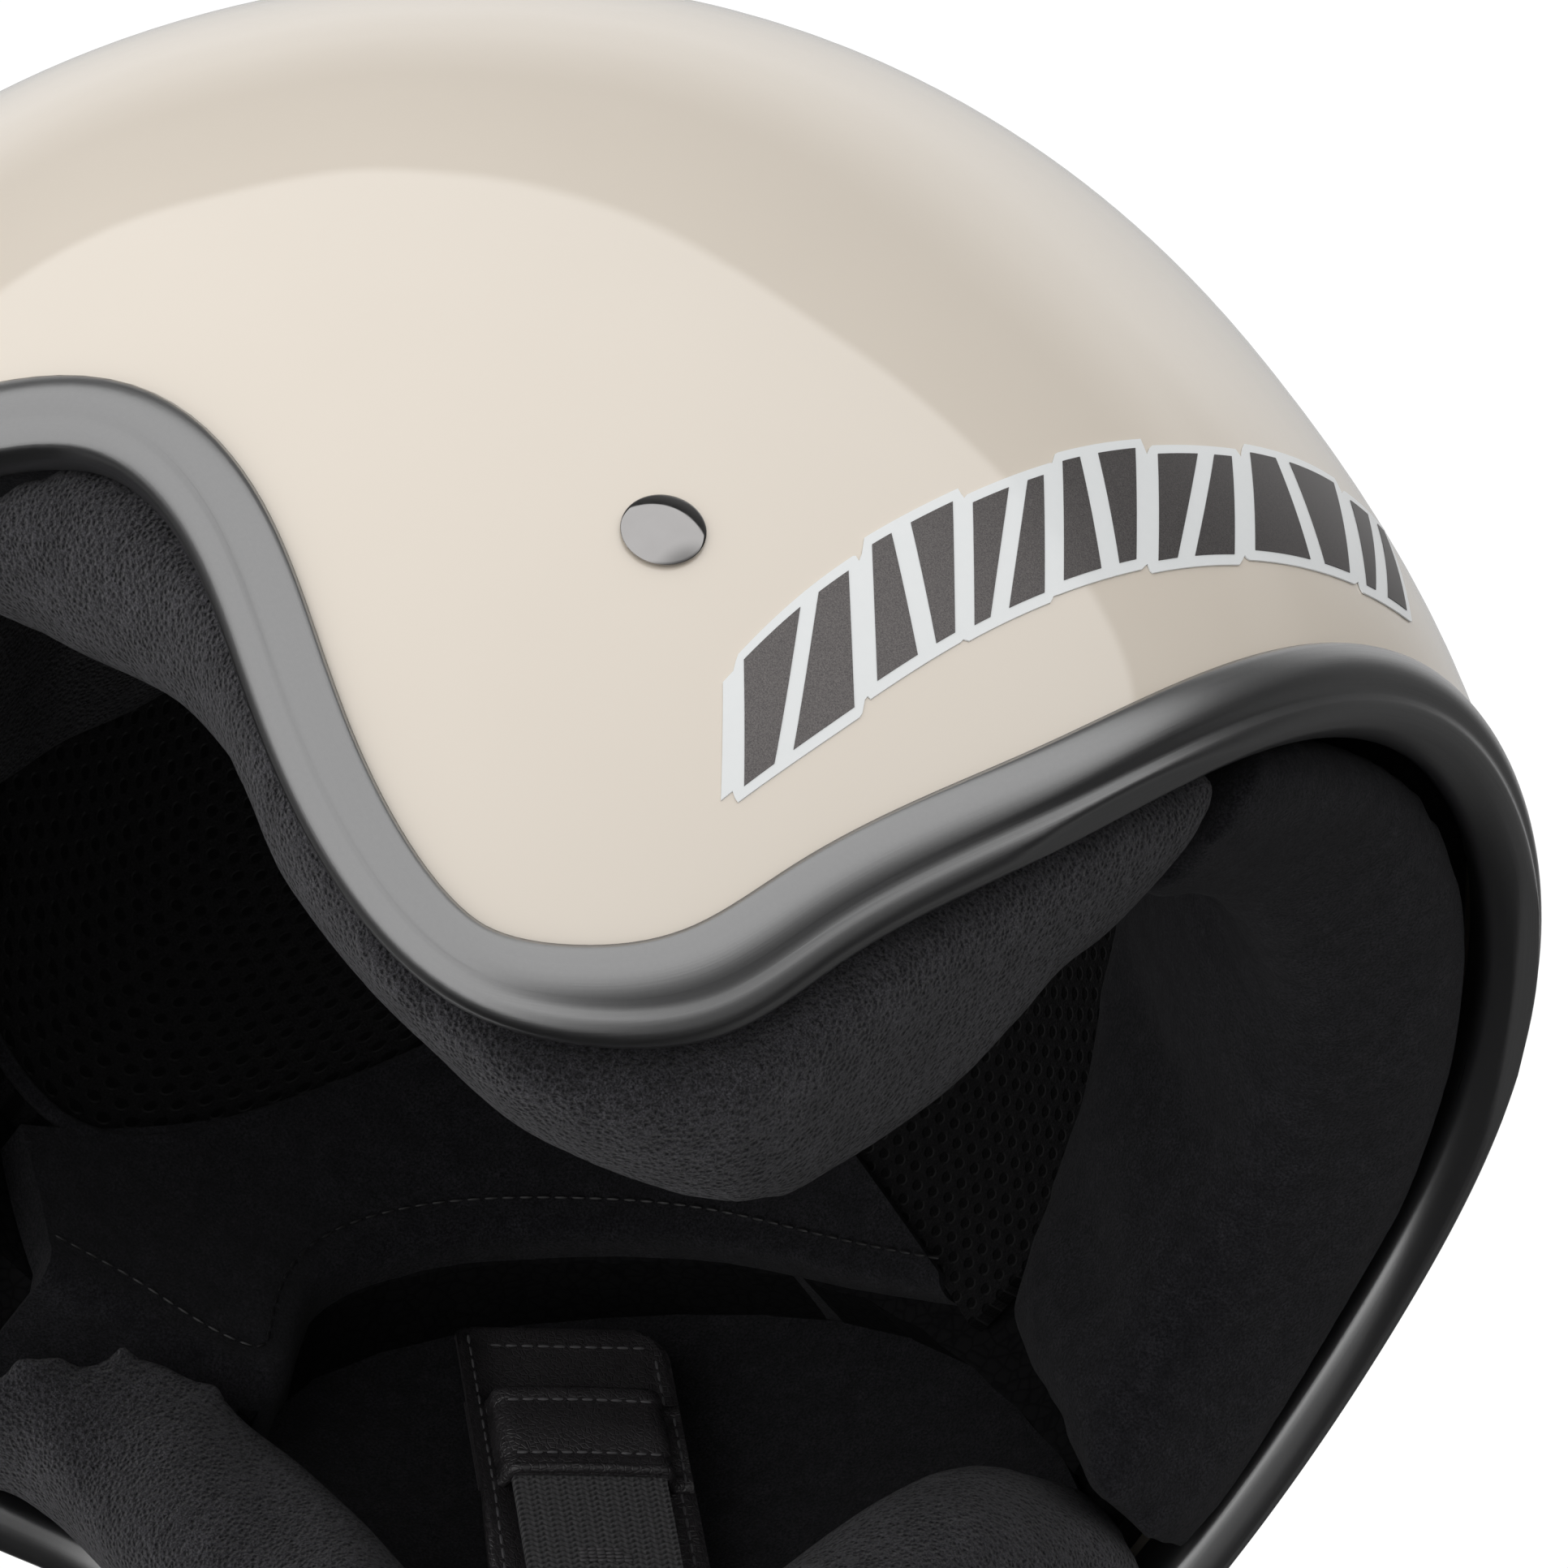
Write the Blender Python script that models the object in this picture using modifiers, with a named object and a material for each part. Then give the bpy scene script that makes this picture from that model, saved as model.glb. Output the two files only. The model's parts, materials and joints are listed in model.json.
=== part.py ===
"""Open face motorcycle helmet with a rubber edge trim, padded lining and double D-ring chin strap.

The shape is worked out in the head's frame: the wearer looks along -Y, +X is the wearer's left
and +Z is up. Every part hangs on one empty, which leans the helmet back until its two cheek lobes
and its nape stand on z = 0. Lengths are in metres unless a name or a comment says otherwise.
"""

import math

import bmesh
import bpy
import numpy as np
from mathutils import Euler, Matrix, Vector

MM = 0.001
GAP = 0.3 * MM

# Outer shell: ellipses in plan, with rounder curves above and below the widest level.
HALF_WIDTH = 0.1232
FRONT = 0.1387
REAR = 0.1369
TOP = 0.1322
DEEP = 0.1499
TOP_POWER = 2.19
DEEP_POWER = 2.33
RAKE = -0.0085
SHELL_THICKNESS = 4.4 * MM
LEAN = math.radians(18.3)
GIRTH_RADIUS = 0.12
POLE = np.array([0.0, math.sin(math.radians(25)), math.cos(math.radians(25))])

# Lower edge of the helmet, as (degrees round from the forehead, height in mm).
RIM = (
    (0, 30), (22, 30), (37.5, 30), (51.5, 10), (62, -6.5), (64, -21.5), (62.5, -49.5), (60.5, -74.5),
    (62.5, -98.5), (69.5, -109), (79, -113), (89, -110.5), (109.5, -103.5), (131, -89), (154, -75.5),
    (180, -73.5),
)
# Boundaries inside the helmet, in the same terms.
EAR_ARCH = (
    (45, -40), (55, -4), (66, -4), (74, 12), (84, 20), (105, 11), (114, 0), (122, -16), (129, -50),
    (134, -120),
)
SIDE_LINER_FOOT = (
    (51, 24), (58, 17), (64, 7), (70, 2), (75, 12), (80, 19), (86, 21), (105, 12), (114, 1), (122, -15),
    (130, -32),
)
SIDE_LINER_HEAD = ((51, 46), (90, 46), (130, 46))
CHEEK_PAD_HEAD = (
    (58.5, 8), (63, -2), (67, -13), (70.5, -28), (74, -46), (79, -61), (89, -70), (101, -71), (113, -68),
    (122, -66), (129.5, -67),
)
BROW_PAD_HEAD = ((0, 68), (24, 68), (47, 62))
NECK_PAD_HEAD = ((134.5, -44), (145, -33), (153, -26), (160, -18), (180, -10))
REAR_PANEL_FOOT = ((134.5, -40), (145, -29), (153, -22), (160, -14), (180, -6))
REAR_PANEL_HEAD = ((134.5, 46), (180, 46))
CROWN_FOOT = ((0, 72), (44, 70), (56, 52), (75, 50), (180, 50))

# Depths below the shell's outer face.
FOAM_FACE = 6.8 * MM
FOAM_BACK = 30.0 * MM
FOAM_EDGE = 15.0 * MM
RECESS_FLOOR = 13.0 * MM
LINER_BACK = 31.7 * MM
LINER_THICKNESS = 5.0 * MM
MESH_THICKNESS = 3.0 * MM
CROWN_PAD_BACK = 37.0 * MM
CROWN_PAD_THICKNESS = 8.0 * MM
CROWN_PAD_HALF_WIDTH = 0.030
EAR_LINING_BACK = 14.0 * MM
EAR_LINING_THICKNESS = 1.5 * MM
CHEEK_PAD_BACK = 15.8 * MM
TRIM_CLEARANCE = 7.7 * MM

# Rubber trim: (outward from the shell's face, up from the lower edge), in mm.
TRIM_PROFILE = (
    (0.5, 10.8), (1.7, 10.4), (2.4, 8.2), (2.3, 5.6), (1.2, 4.0), (1.9, 2.2), (0.4, 0.1),
    (-3.6, 0.0), (-6.4, 1.8), (-6.7, 9.4), (-4.9, 9.6), (-4.9, 3.2), (0.5, 3.2),
)
SHELL_EDGE = 3.8 * MM
FOOT_FLAT = 1.3 * MM
STATIONS = 41

# Strap rivet, its place on the shell, and the steel plate that it holds.
RIVET_ANGLE = 89.5
RIVET_HEIGHT = -55.5 * MM
RIVET_CAP_RADIUS = 5.5 * MM
RIVET_CAP_HEIGHT = 2.0 * MM
RIVET_SHANK_RADIUS = 2.2 * MM
RIVET_TAIL_RADIUS = 3.8 * MM
RIVET_HOLE_RADIUS = 2.8 * MM
PLATE_WIDTH = 23 * MM
PLATE_LENGTH = 18 * MM
PLATE_THICKNESS = 1.6 * MM
PLATE_DEPTH = 6.6 * MM

# Chin strap, in its own frame: across (w), along (l) and towards the head (m).
STRAP_LEAN = math.radians(16.6)
STRAP_TWIST = math.radians(9.4)
STRAP_X = 0.0925
STRAP_Y = -3.6 * MM
STRAP_Z = -55.4 * MM
WEBBING_WIDTH = 23 * MM
WEBBING_THICKNESS = 1.5 * MM
LEATHER_WIDTH = 33 * MM
LEATHER_THICKNESS = 1.8 * MM
RIGHT_STRAP_LENGTH = 60 * MM
KEEPER_SPAN = (27, 44)
LEFT_STRAP_LENGTH = 40 * MM
RING_WIRE_RADIUS = 1.6 * MM
RING_HALF_WIDTH = 14 * MM
RING_DEPTH = 19 * MM

# Generic side decal: a rising arched band, as (degrees, height in mm).
DECAL_FOOT = ((85.5, -91.5), (95, -86.5), (105, -79.5), (117, -71.5), (129, -64), (141, -57.5), (153, -50.5))
DECAL_HEAD = ((87, -77.5), (97, -67.5), (108, -59), (120, -50.5), (133, -43), (145, -36), (155, -31))
DECAL_LIFT = 0.5 * MM
DECAL_THICKNESS = 0.4 * MM

BLACK_RUBBER = ((0.012, 0.012, 0.013), 0.35, 0.0)
CREAM_PAINT = ((0.74, 0.69, 0.60), 0.12, 0.0)
BLACK_TERRY = ((0.020, 0.020, 0.022), 0.95, 0.0)
BLACK_BRUSHED = ((0.013, 0.013, 0.015), 0.95, 0.0)
BLACK_MESH = ((0.008, 0.008, 0.009), 0.8, 0.0)
BLACK_FOAM = ((0.025, 0.025, 0.026), 0.8, 0.0)
CHROME = ((0.70, 0.69, 0.68), 0.08, 1.0)
STEEL = ((0.42, 0.42, 0.43), 0.35, 1.0)
BLACK_LEATHER = ((0.018, 0.017, 0.018), 0.45, 0.0)
BLACK_WEBBING = ((0.022, 0.022, 0.024), 0.7, 0.0)
RED_WEBBING = ((0.35, 0.02, 0.02), 0.7, 0.0)
WHITE_VINYL = ((0.82, 0.83, 0.83), 0.3, 0.0)


# ---- Shape of the shell -------------------------------------------------------------------

def surface(angle, height, depth=0.0):
    """Points at a depth below the shell's outer face, from angle (radians) and height."""
    angle, height, depth = np.broadcast_arrays(angle, height, depth)
    across = np.sin(angle)
    along = -np.cos(angle)
    half_length = np.where(along < 0, FRONT, REAR) - depth
    half_height = np.where(height > 0, TOP - depth, DEEP)
    power = np.where(height > 0, TOP_POWER, DEEP_POWER)
    fall = np.maximum(1 - (np.abs(height) / half_height) ** power, 0) ** (1 / power)
    radius = fall / np.sqrt((across / (HALF_WIDTH - depth)) ** 2 + (along / half_length) ** 2)
    return np.stack([radius * across, radius * along + RAKE * height, height], axis=-1)


def outward(angle, height):
    """Unit normals of the shell's outer face."""
    step = 1e-4
    round_shell = surface(angle + step, height) - surface(angle - step, height)
    up_shell = surface(angle, height + step) - surface(angle, height - step)
    normal = np.cross(round_shell, up_shell)
    return normal / np.linalg.norm(normal, axis=-1, keepdims=True)


def radial(direction, depth=0.0):
    """Points where rays from the centre meet the surface at a depth."""
    x, y, z = np.moveaxis(direction, -1, 0)
    half_length = np.where(y < 0, FRONT, REAR) - depth
    half_height = np.where(z > 0, TOP - depth, DEEP)
    power = np.where(z > 0, TOP_POWER, DEEP_POWER)
    plan = (x / (HALF_WIDTH - depth)) ** 2 + (y / half_length) ** 2
    size = (plan ** (power / 2) + (np.abs(z) / half_height) ** power) ** (-1 / power)
    points = direction * size[..., None]
    points[..., 1] += RAKE * points[..., 2]
    return points


def spline(points, count, first=0, last=None):
    """Natural cubic spline through points, sampled evenly from knot first to knot last."""
    points = np.asarray(points, float)
    steps = np.linalg.norm(np.diff(points, axis=0), axis=1)
    knots = np.concatenate(([0.0], np.cumsum(steps)))
    matrix = np.eye(len(knots))
    bends = np.zeros_like(points)
    for i in range(1, len(knots) - 1):
        before, after = steps[i - 1], steps[i]
        matrix[i, i - 1:i + 2] = before, 2 * (before + after), after
        bends[i] = 6 * ((points[i + 1] - points[i]) / after - (points[i] - points[i - 1]) / before)
    bends = np.linalg.solve(matrix, bends)
    end = knots[-1] if last is None else knots[last]
    at = np.linspace(knots[first], end, count)
    i = np.clip(np.searchsorted(knots, at, side="right") - 1, 0, len(steps) - 1)
    h = steps[i][:, None]
    a = (knots[i + 1] - at)[:, None]
    b = (at - knots[i])[:, None]
    curve = (bends[i] * a ** 3 + bends[i + 1] * b ** 3) / (6 * h)
    curve += (points[i] / h - bends[i] * h / 6) * a
    return curve + (points[i + 1] / h - bends[i + 1] * h / 6) * b


def flat(points):
    """(degrees, mm) pairs as metres on the unrolled shell."""
    points = np.asarray(points, float)
    return np.stack([np.radians(points[:, 0]) * GIRTH_RADIUS, points[:, 1] * MM], axis=-1)


def edge(lift, count=STATIONS):
    """Half of the helmet's edge on the unrolled shell, moved up into the shell by lift."""
    half = flat(RIM)
    turn = 2 * math.pi * GIRTH_RADIUS
    before = half[2:0:-1] * (-1, 1)
    after = half[-2:-4:-1] * (-1, 1) + (turn, 0)
    curve = spline(np.concatenate([before, half, after]), count, first=2, last=len(half) + 1)
    tangent = np.gradient(curve, axis=0)
    tangent[0] = tangent[-1] = (1, 0)
    tangent /= np.linalg.norm(tangent, axis=1, keepdims=True)
    normal = np.stack([-tangent[:, 1], tangent[:, 0]], axis=-1)
    return curve + normal * np.broadcast_to(lift, count)[:, None]


def whole_loop(half):
    """A half edge and its mirror image as one closed loop."""
    return np.concatenate([half, half[-2:0:-1] * (-1, 1)])


def edge_between(start, end, lift, count):
    """The part of the edge between two angles in degrees, with an even step."""
    fine = edge(lift(np.linspace(0, 1, 401)) if callable(lift) else lift, 401)
    degrees = np.degrees(edge(0, 401)[:, 0] / GIRTH_RADIUS)
    first = int(np.argmax(degrees >= start))
    last = len(degrees) - 1 - int(np.argmax(degrees[::-1] <= end))
    return spline(fine[first:last + 1:8], count)


def point(flat_point, depth):
    """Surface points of unrolled points at a depth."""
    flat_point = np.asarray(flat_point)
    return surface(flat_point[..., 0] / GIRTH_RADIUS, flat_point[..., 1], depth)


# ---- Objects ------------------------------------------------------------------------------

def clear_scene():
    for thing in list(bpy.data.objects):
        bpy.data.objects.remove(thing, do_unlink=True)


def new_collection(name):
    collection = bpy.data.collections.new(name)
    bpy.context.scene.collection.children.link(collection)
    return collection


def material(name, look):
    colour, roughness, metallic = look
    made = bpy.data.materials.get(name)
    if made is None:
        made = bpy.data.materials.new(name)
        made.use_nodes = True
        shader = made.node_tree.nodes["Principled BSDF"]
        shader.inputs["Base Color"].default_value = (*colour, 1)
        shader.inputs["Roughness"].default_value = roughness
        shader.inputs["Metallic"].default_value = metallic
    return made


def add(name, points, faces, look_name, look, collection, origin=(0, 0, 0), smooth=True):
    """An object from points and faces, with its origin at a chosen point."""
    origin = Vector(origin)
    mesh = bpy.data.meshes.new(name)
    mesh.from_pydata([Vector(p) - origin for p in points], [], faces)
    work = bmesh.new()
    work.from_mesh(mesh)
    bmesh.ops.remove_doubles(work, verts=work.verts, dist=1e-6)
    bmesh.ops.recalc_face_normals(work, faces=work.faces)
    if work.calc_volume(signed=True) < 0:
        bmesh.ops.reverse_faces(work, faces=work.faces)
    work.to_mesh(mesh)
    work.free()
    if smooth:
        mesh.shade_smooth()
        mesh.set_sharp_from_angle(angle=math.radians(40))
    mesh.materials.append(material(look_name, look))
    thing = bpy.data.objects.new(name, mesh)
    thing.location = origin
    thing.parent = frame
    collection.objects.link(thing)
    return thing


def grid_faces(rows, columns, closed):
    """Quads of a grid whose points run row by row; a closed grid joins its last column to its first."""
    spans = columns if closed else columns - 1
    return [
        (r * columns + c, r * columns + (c + 1) % columns,
         (r + 1) * columns + (c + 1) % columns, (r + 1) * columns + c)
        for r in range(rows - 1) for c in range(spans)
    ]


def solidify(thing, thickness, group=None):
    modifier = thing.modifiers.new("thickness", "SOLIDIFY")
    modifier.thickness = thickness
    modifier.offset = -1
    if group:
        modifier.vertex_group = group
    return modifier


def cut(thing, cutter):
    modifier = thing.modifiers.new("cut", "BOOLEAN")
    modifier.operation = "DIFFERENCE"
    modifier.object = cutter


def loft(name, rings, look_name, look, origin=(0, 0, 0), closed=False, collection=None):
    """A closed solid through rings of equal length, capped at both ends unless it closes on itself."""
    count, size = len(rings), len(rings[0])
    points = [p for ring in rings for p in ring]
    faces = [
        (i * size + j, i * size + (j + 1) % size,
         (i + 1) % count * size + (j + 1) % size, (i + 1) % count * size + j)
        for i in range(count if closed else count - 1) for j in range(size)
    ]
    if not closed:
        faces += [tuple(range(size)), tuple(range((count - 1) * size, count * size))]
    return add(name, points, faces, look_name, look, collection or parts, origin)


def towards_pole(foot, depth, rows):
    """Directions from a foot curve on the unrolled shell up to the pole, row by row."""
    start = point(foot, depth)
    start[:, 1] -= RAKE * start[:, 2]
    start /= np.linalg.norm(start, axis=1, keepdims=True)
    swing = np.arccos(start @ POLE)[:, None]
    shares = [row / rows for row in range(rows)]
    return [(np.sin((1 - s) * swing) * start + np.sin(s * swing) * POLE) / np.sin(swing) for s in shares]


def dome_faces(rows, columns):
    """Faces of a dome whose last point is its pole, turned outwards."""
    last = (rows - 1) * columns
    faces = grid_faces(rows, columns, True)
    faces += [(last + c, last + (c + 1) % columns, rows * columns) for c in range(columns)]
    return faces


def dome(name, feet, depth, rows, look_name, look):
    """An open dome from closed foot curves on the unrolled shell up to the pole."""
    points = [p for foot in feet[:-1] for p in point(foot, depth)]
    points += [p for row in towards_pole(feet[-1], depth, rows) for p in radial(row, depth)]
    points.append(radial(POLE[None], depth)[0])
    faces = dome_faces(rows + len(feet) - 1, len(feet[0]))
    return add(name, points, faces, look_name, look, parts)


def face_outwards(thing):
    """Turns an open surface so that its normals point away from the head."""
    work = bmesh.new()
    work.from_mesh(thing.data)
    work.faces.ensure_lookup_table()
    inwards = [f for f in work.faces if f.normal.dot(f.calc_center_median()) < 0]
    if len(inwards) > len(work.faces) / 2:
        bmesh.ops.reverse_faces(work, faces=work.faces)
    work.to_mesh(thing.data)
    work.free()


def mirror_points(rings, side):
    return [np.asarray(ring) * (side, 1, 1) for ring in rings]


def cylinder(name, radius, start, end, segments, collection):
    """A closed cylinder between two points."""
    axis = Vector(end) - Vector(start)
    work = bmesh.new()
    bmesh.ops.create_cone(work, cap_ends=True, segments=segments, radius1=radius, radius2=radius,
                          depth=axis.length)
    turn = axis.to_track_quat("Z", "Y").to_matrix().to_4x4()
    bmesh.ops.transform(work, verts=work.verts, matrix=Matrix.Translation((Vector(start) + Vector(end)) / 2) @ turn)
    mesh = bpy.data.meshes.new(name)
    work.to_mesh(mesh)
    work.free()
    thing = bpy.data.objects.new(name, mesh)
    thing.parent = frame
    collection.objects.link(thing)
    return thing


def as_cutter(thing):
    thing.hide_render = True
    thing.display_type = "WIRE"
    return thing


# ---- Shell, trim and foam -------------------------------------------------------------------

def make_shell(rivet_cutters):
    feet = [whole_loop(edge(lift)) for lift in (SHELL_EDGE, SHELL_EDGE + 4 * MM, SHELL_EDGE + 9 * MM)]
    shell = dome("outer_shell", feet, 0.0, 9, "paint", CREAM_PAINT)
    face_outwards(shell)
    solidify(shell, SHELL_THICKNESS)
    for cutter in rivet_cutters:
        cut(shell, cutter)


def make_trim():
    """The trim stands on z = 0, where its rubber is pressed flat."""
    low = whole_loop(edge(0))
    high = whole_loop(edge(10 * MM))
    normal = outward(low[:, 0] / GIRTH_RADIUS, low[:, 1])
    rings = []
    for i in range(len(low)):
        ring = []
        for out, up in TRIM_PROFILE:
            share = up / 10
            on_shell = point(low[i] * (1 - share) + high[i] * share, 0.0)
            ring.append(on_shell + normal[i] * out * MM)
        rings.append(np.array(ring))
    down = np.array([0, math.sin(LEAN), -math.cos(LEAN)])
    deepest = max((ring @ down).max() for ring in rings) - FOOT_FLAT
    pressed = []
    for ring in rings:
        excess = np.maximum(ring @ down - deepest, 0)
        pressed.append(ring - excess[:, None] * down)
    loft("edge_trim", pressed, "trim", BLACK_RUBBER, closed=True)
    return deepest


def ear_recess(name, side):
    """A cutter for the hollow behind one ear and cheek, under the ear arch."""
    head = spline(flat(EAR_ARCH), 25)
    foot = np.stack([head[:, 0], np.full(len(head), -125 * MM)], axis=-1)
    rings = []
    for low, high in zip(foot, head):
        levels = [low * (1 - share) + high * share for share in np.linspace(0, 1, 9)]
        ring = [point(level, RECESS_FLOOR) for level in levels]
        ring += [point(high, 60 * MM), point(low, 60 * MM)]
        rings.append(np.array(ring))
    return as_cutter(loft(name, mirror_points(rings, side), "foam", BLACK_FOAM, collection=cutters))


def make_foam(cutters):
    """Foam whose two faces are both laid out from the shell's shape."""
    rows, foot = 9, whole_loop(edge(FOAM_EDGE, 33))
    columns = len(foot)
    points = []
    for depth in (FOAM_FACE, FOAM_BACK):
        points += [p for row in towards_pole(foot, depth, rows) for p in radial(row, depth)]
        points.append(radial(POLE[None], depth)[0])
    shift = rows * columns + 1
    faces = dome_faces(rows, columns)
    faces += [tuple(i + shift for i in face[::-1]) for face in dome_faces(rows, columns)]
    faces += [(c, (c + 1) % columns, shift + (c + 1) % columns, shift + c) for c in range(columns)]
    foam = add("eps_liner", points, faces, "foam", BLACK_FOAM, parts)
    for cutter in cutters:
        cut(foam, cutter)


# ---- Lining ---------------------------------------------------------------------------------

def panel(name, foot, head, depth, thickness, rows, look_name, look, side=1):
    """A thin lining panel between two curves."""
    columns = len(foot)
    points = []
    for row in range(rows):
        share = row / (rows - 1)
        points.extend(point(foot * (1 - share) + head * share, depth) * (side, 1, 1))
    thing = add(name, points, grid_faces(rows, columns, False), look_name, look, parts)
    face_outwards(thing)
    solidify(thing, thickness)
    return thing


def mirrored_span(half):
    """A half curve from the middle plane, made whole across it."""
    return np.concatenate([half[:0:-1] * (-1, 1), half])


def pad(name, foot, head, back, face, overhang, look_name, look, side=1):
    """A soft pad that reaches from the trim's inner lip to its upper curve.

    Its section slopes in under the foam at the foot, bulges by overhang below the edge
    and is rounded at the top. Its first and last sections are drawn in.
    """
    rings = []
    on_shell = point(foot, 0.0)
    squeeze = ((on_shell - point(foot, 10 * MM)) * outward(foot[:, 0] / GIRTH_RADIUS, foot[:, 1])).sum(axis=1)
    for i in range(len(foot)):
        beside_trim = TRIM_CLEARANCE * 10 * MM / squeeze[i]
        rise = head[i] - foot[i]
        height = np.linalg.norm(rise)
        up = rise / height
        end = i in (0, len(foot) - 1)
        front = back + (face - back) * (0.45 if end else 1.0)
        bulge = overhang[i] * (0.4 if end else 1.0)
        section = (
            (beside_trim, 4.5 * MM), (back, min(11 * MM, height * 0.6)), (back, height - 1 * MM),
            (back + (front - back) * 0.5, height), (front - 2 * MM, height * 0.86), (front, height * 0.5),
            (front - 1 * MM, height * 0.16), (front - 5 * MM, 1 * MM - bulge * 0.5),
            ((front + 16 * MM) / 2, -bulge), (16 * MM, 1 * MM - bulge * 0.5),
        )
        depths = np.array([depth for depth, _ in section])
        levels = np.array([level for _, level in section])
        rings.append(point(foot[i] + up * levels[:, None], depths))
    return loft(name, mirror_points(rings, side), look_name, look)


def make_pads():
    count = 17
    brow = mirrored_span(edge_between(0, 47.5, 0, 7))
    brow_head = mirrored_span(spline(flat(BROW_PAD_HEAD), 7))
    pad("brow_pad", brow, brow_head, LINER_BACK, 42 * MM, np.zeros(len(brow)), "terry", BLACK_TERRY)

    nape = edge_between(134.5, 180, 0, 8)
    across = np.concatenate([nape, nape[-2::-1] * (-1, 1) + (2 * math.pi * GIRTH_RADIUS, 0)])
    head = spline(flat(NECK_PAD_HEAD), 8)
    head = np.concatenate([head, head[-2::-1] * (-1, 1) + (2 * math.pi * GIRTH_RADIUS, 0)])
    pad("neck_pad", across, head, LINER_BACK, 46 * MM, np.zeros(len(across)), "brushed", BLACK_BRUSHED)

    foot = edge_between(53.5, 130.5, 0, count)
    bulge = np.interp(np.linspace(0, 1, count), (0, 0.12, 0.4, 0.55, 1), (3, 9, 7, 0, 0)) * MM
    top = spline(flat(CHEEK_PAD_HEAD), count)
    for side, name in ((1, "left"), (-1, "right")):
        pad("cheek_pad_" + name, foot, top, CHEEK_PAD_BACK, 44 * MM, bulge,
            "terry", BLACK_TERRY, side)


def make_linings(cutters):
    crown_foot = spline(flat(CROWN_FOOT), 17)
    mesh = dome("crown_mesh_liner", [whole_loop(crown_foot)], LINER_BACK, 4, "mesh", BLACK_MESH)
    face_outwards(mesh)
    solidify(mesh, MESH_THICKNESS)

    rear_foot = spline(flat(REAR_PANEL_FOOT), 7)
    rear_head = spline(flat(REAR_PANEL_HEAD), 7)
    turn = (2 * math.pi * GIRTH_RADIUS, 0)
    rear_foot = np.concatenate([rear_foot, rear_foot[-2::-1] * (-1, 1) + turn])
    rear_head = np.concatenate([rear_head, rear_head[-2::-1] * (-1, 1) + turn])
    panel("rear_mesh_panel", rear_foot, rear_head, LINER_BACK, MESH_THICKNESS, 4, "mesh", BLACK_MESH)

    for side, name, cutter in ((1, "left", cutters[0]), (-1, "right", cutters[1])):
        foot = spline(flat(SIDE_LINER_FOOT), 15)
        head = spline(flat(SIDE_LINER_HEAD), 15)
        panel("side_liner_" + name, foot, head, LINER_BACK, LINER_THICKNESS, 4, "brushed", BLACK_BRUSHED, side)
        low = np.array(flat(((68, -16), (73, -38), (79, -56), (89, -65), (101, -66), (113, -63), (124, -61))))
        high = np.array(flat(((68, -13), (75, 6), (84, 14), (104, 5), (113, -6), (120, -24))))
        lining = panel("ear_lining_" + name, spline(low, 11), spline(high, 11), EAR_LINING_BACK,
                       EAR_LINING_THICKNESS, 5, "brushed", BLACK_BRUSHED, side)
        cut(lining, cutter)


def make_crown_pad():
    """A padded band over the crown, from above the forehead to the back of the head."""
    rings = []
    thick = CROWN_PAD_THICKNESS
    for i, turn in enumerate(np.radians(np.linspace(50, 146, 11))):
        end = i in (0, 10)
        section = ((-1, 0.0), (-0.5, 0.0), (0, 0.0), (0.5, 0.0), (1, 0.0), (0.93, 0.75), (0.5, 1.0),
                   (0, 1.05), (-0.5, 1.0), (-0.93, 0.75))
        ring = []
        for across, rise in section:
            lateral = across * CROWN_PAD_HALF_WIDTH / 0.095
            direction = np.array([math.sin(lateral), -math.cos(lateral) * math.cos(turn),
                                  math.cos(lateral) * math.sin(turn)])
            ring.append(radial(direction, CROWN_PAD_BACK + thick * rise * (0.5 if end else 1.0)))
        rings.append(np.array(ring))
    loft("crown_pad", rings, "terry", BLACK_TERRY)


# ---- Rivets and anchor plates -------------------------------------------------------------

def rivet_frame(side):
    """The rivet's place on the shell, its outward axis, and the plate's two directions."""
    angle = math.radians(RIVET_ANGLE)
    mirror = np.array([side, 1, 1])
    place = Vector(surface(angle, RIVET_HEIGHT) * mirror)
    axis = Vector(outward(np.array([angle]), np.array([RIVET_HEIGHT]))[0] * mirror)
    along = Vector((0, math.sin(STRAP_LEAN), math.cos(STRAP_LEAN)))
    along = (along - axis * along.dot(axis)).normalized()
    return place, axis, along, along.cross(axis)


def make_rivet(side, name):
    """A turned rivet: domed cap, shank and upset tail behind the plate."""
    place, axis, _, _ = rivet_frame(side)
    tail = -(PLATE_DEPTH + PLATE_THICKNESS + GAP)
    cap_foot = 0.35 * MM
    arc = [math.radians(a) for a in (0, 22, 45, 68)]
    profile = [(RIVET_CAP_RADIUS * math.sin(a), cap_foot + 0.5 * MM + (RIVET_CAP_HEIGHT - 0.85 * MM) * math.cos(a))
               for a in arc]
    profile += [(RIVET_CAP_RADIUS, cap_foot + 0.3 * MM), (RIVET_CAP_RADIUS * 0.97, cap_foot),
                (RIVET_SHANK_RADIUS, cap_foot), (RIVET_SHANK_RADIUS, tail), (RIVET_TAIL_RADIUS, tail),
                (RIVET_TAIL_RADIUS * 0.8, tail - 1.2 * MM), (0, tail - 1.4 * MM)]
    mesh = bpy.data.meshes.new("rivet_" + name)
    mesh.from_pydata([(r, 0, z) for r, z in profile], [(i, i + 1) for i in range(len(profile) - 1)], [])
    rivet = bpy.data.objects.new("rivet_" + name, mesh)
    rivet.location = place
    rivet.rotation_euler = axis.to_track_quat("Z", "Y").to_euler()
    rivet.parent = frame
    parts.objects.link(rivet)
    screw = rivet.modifiers.new("turn", "SCREW")
    screw.steps = 20
    screw.render_steps = 20
    screw.use_merge_vertices = True
    screw.merge_threshold = 1e-5
    screw.use_normal_calculate = True
    mesh.materials.append(material("chrome", CHROME))


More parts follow.
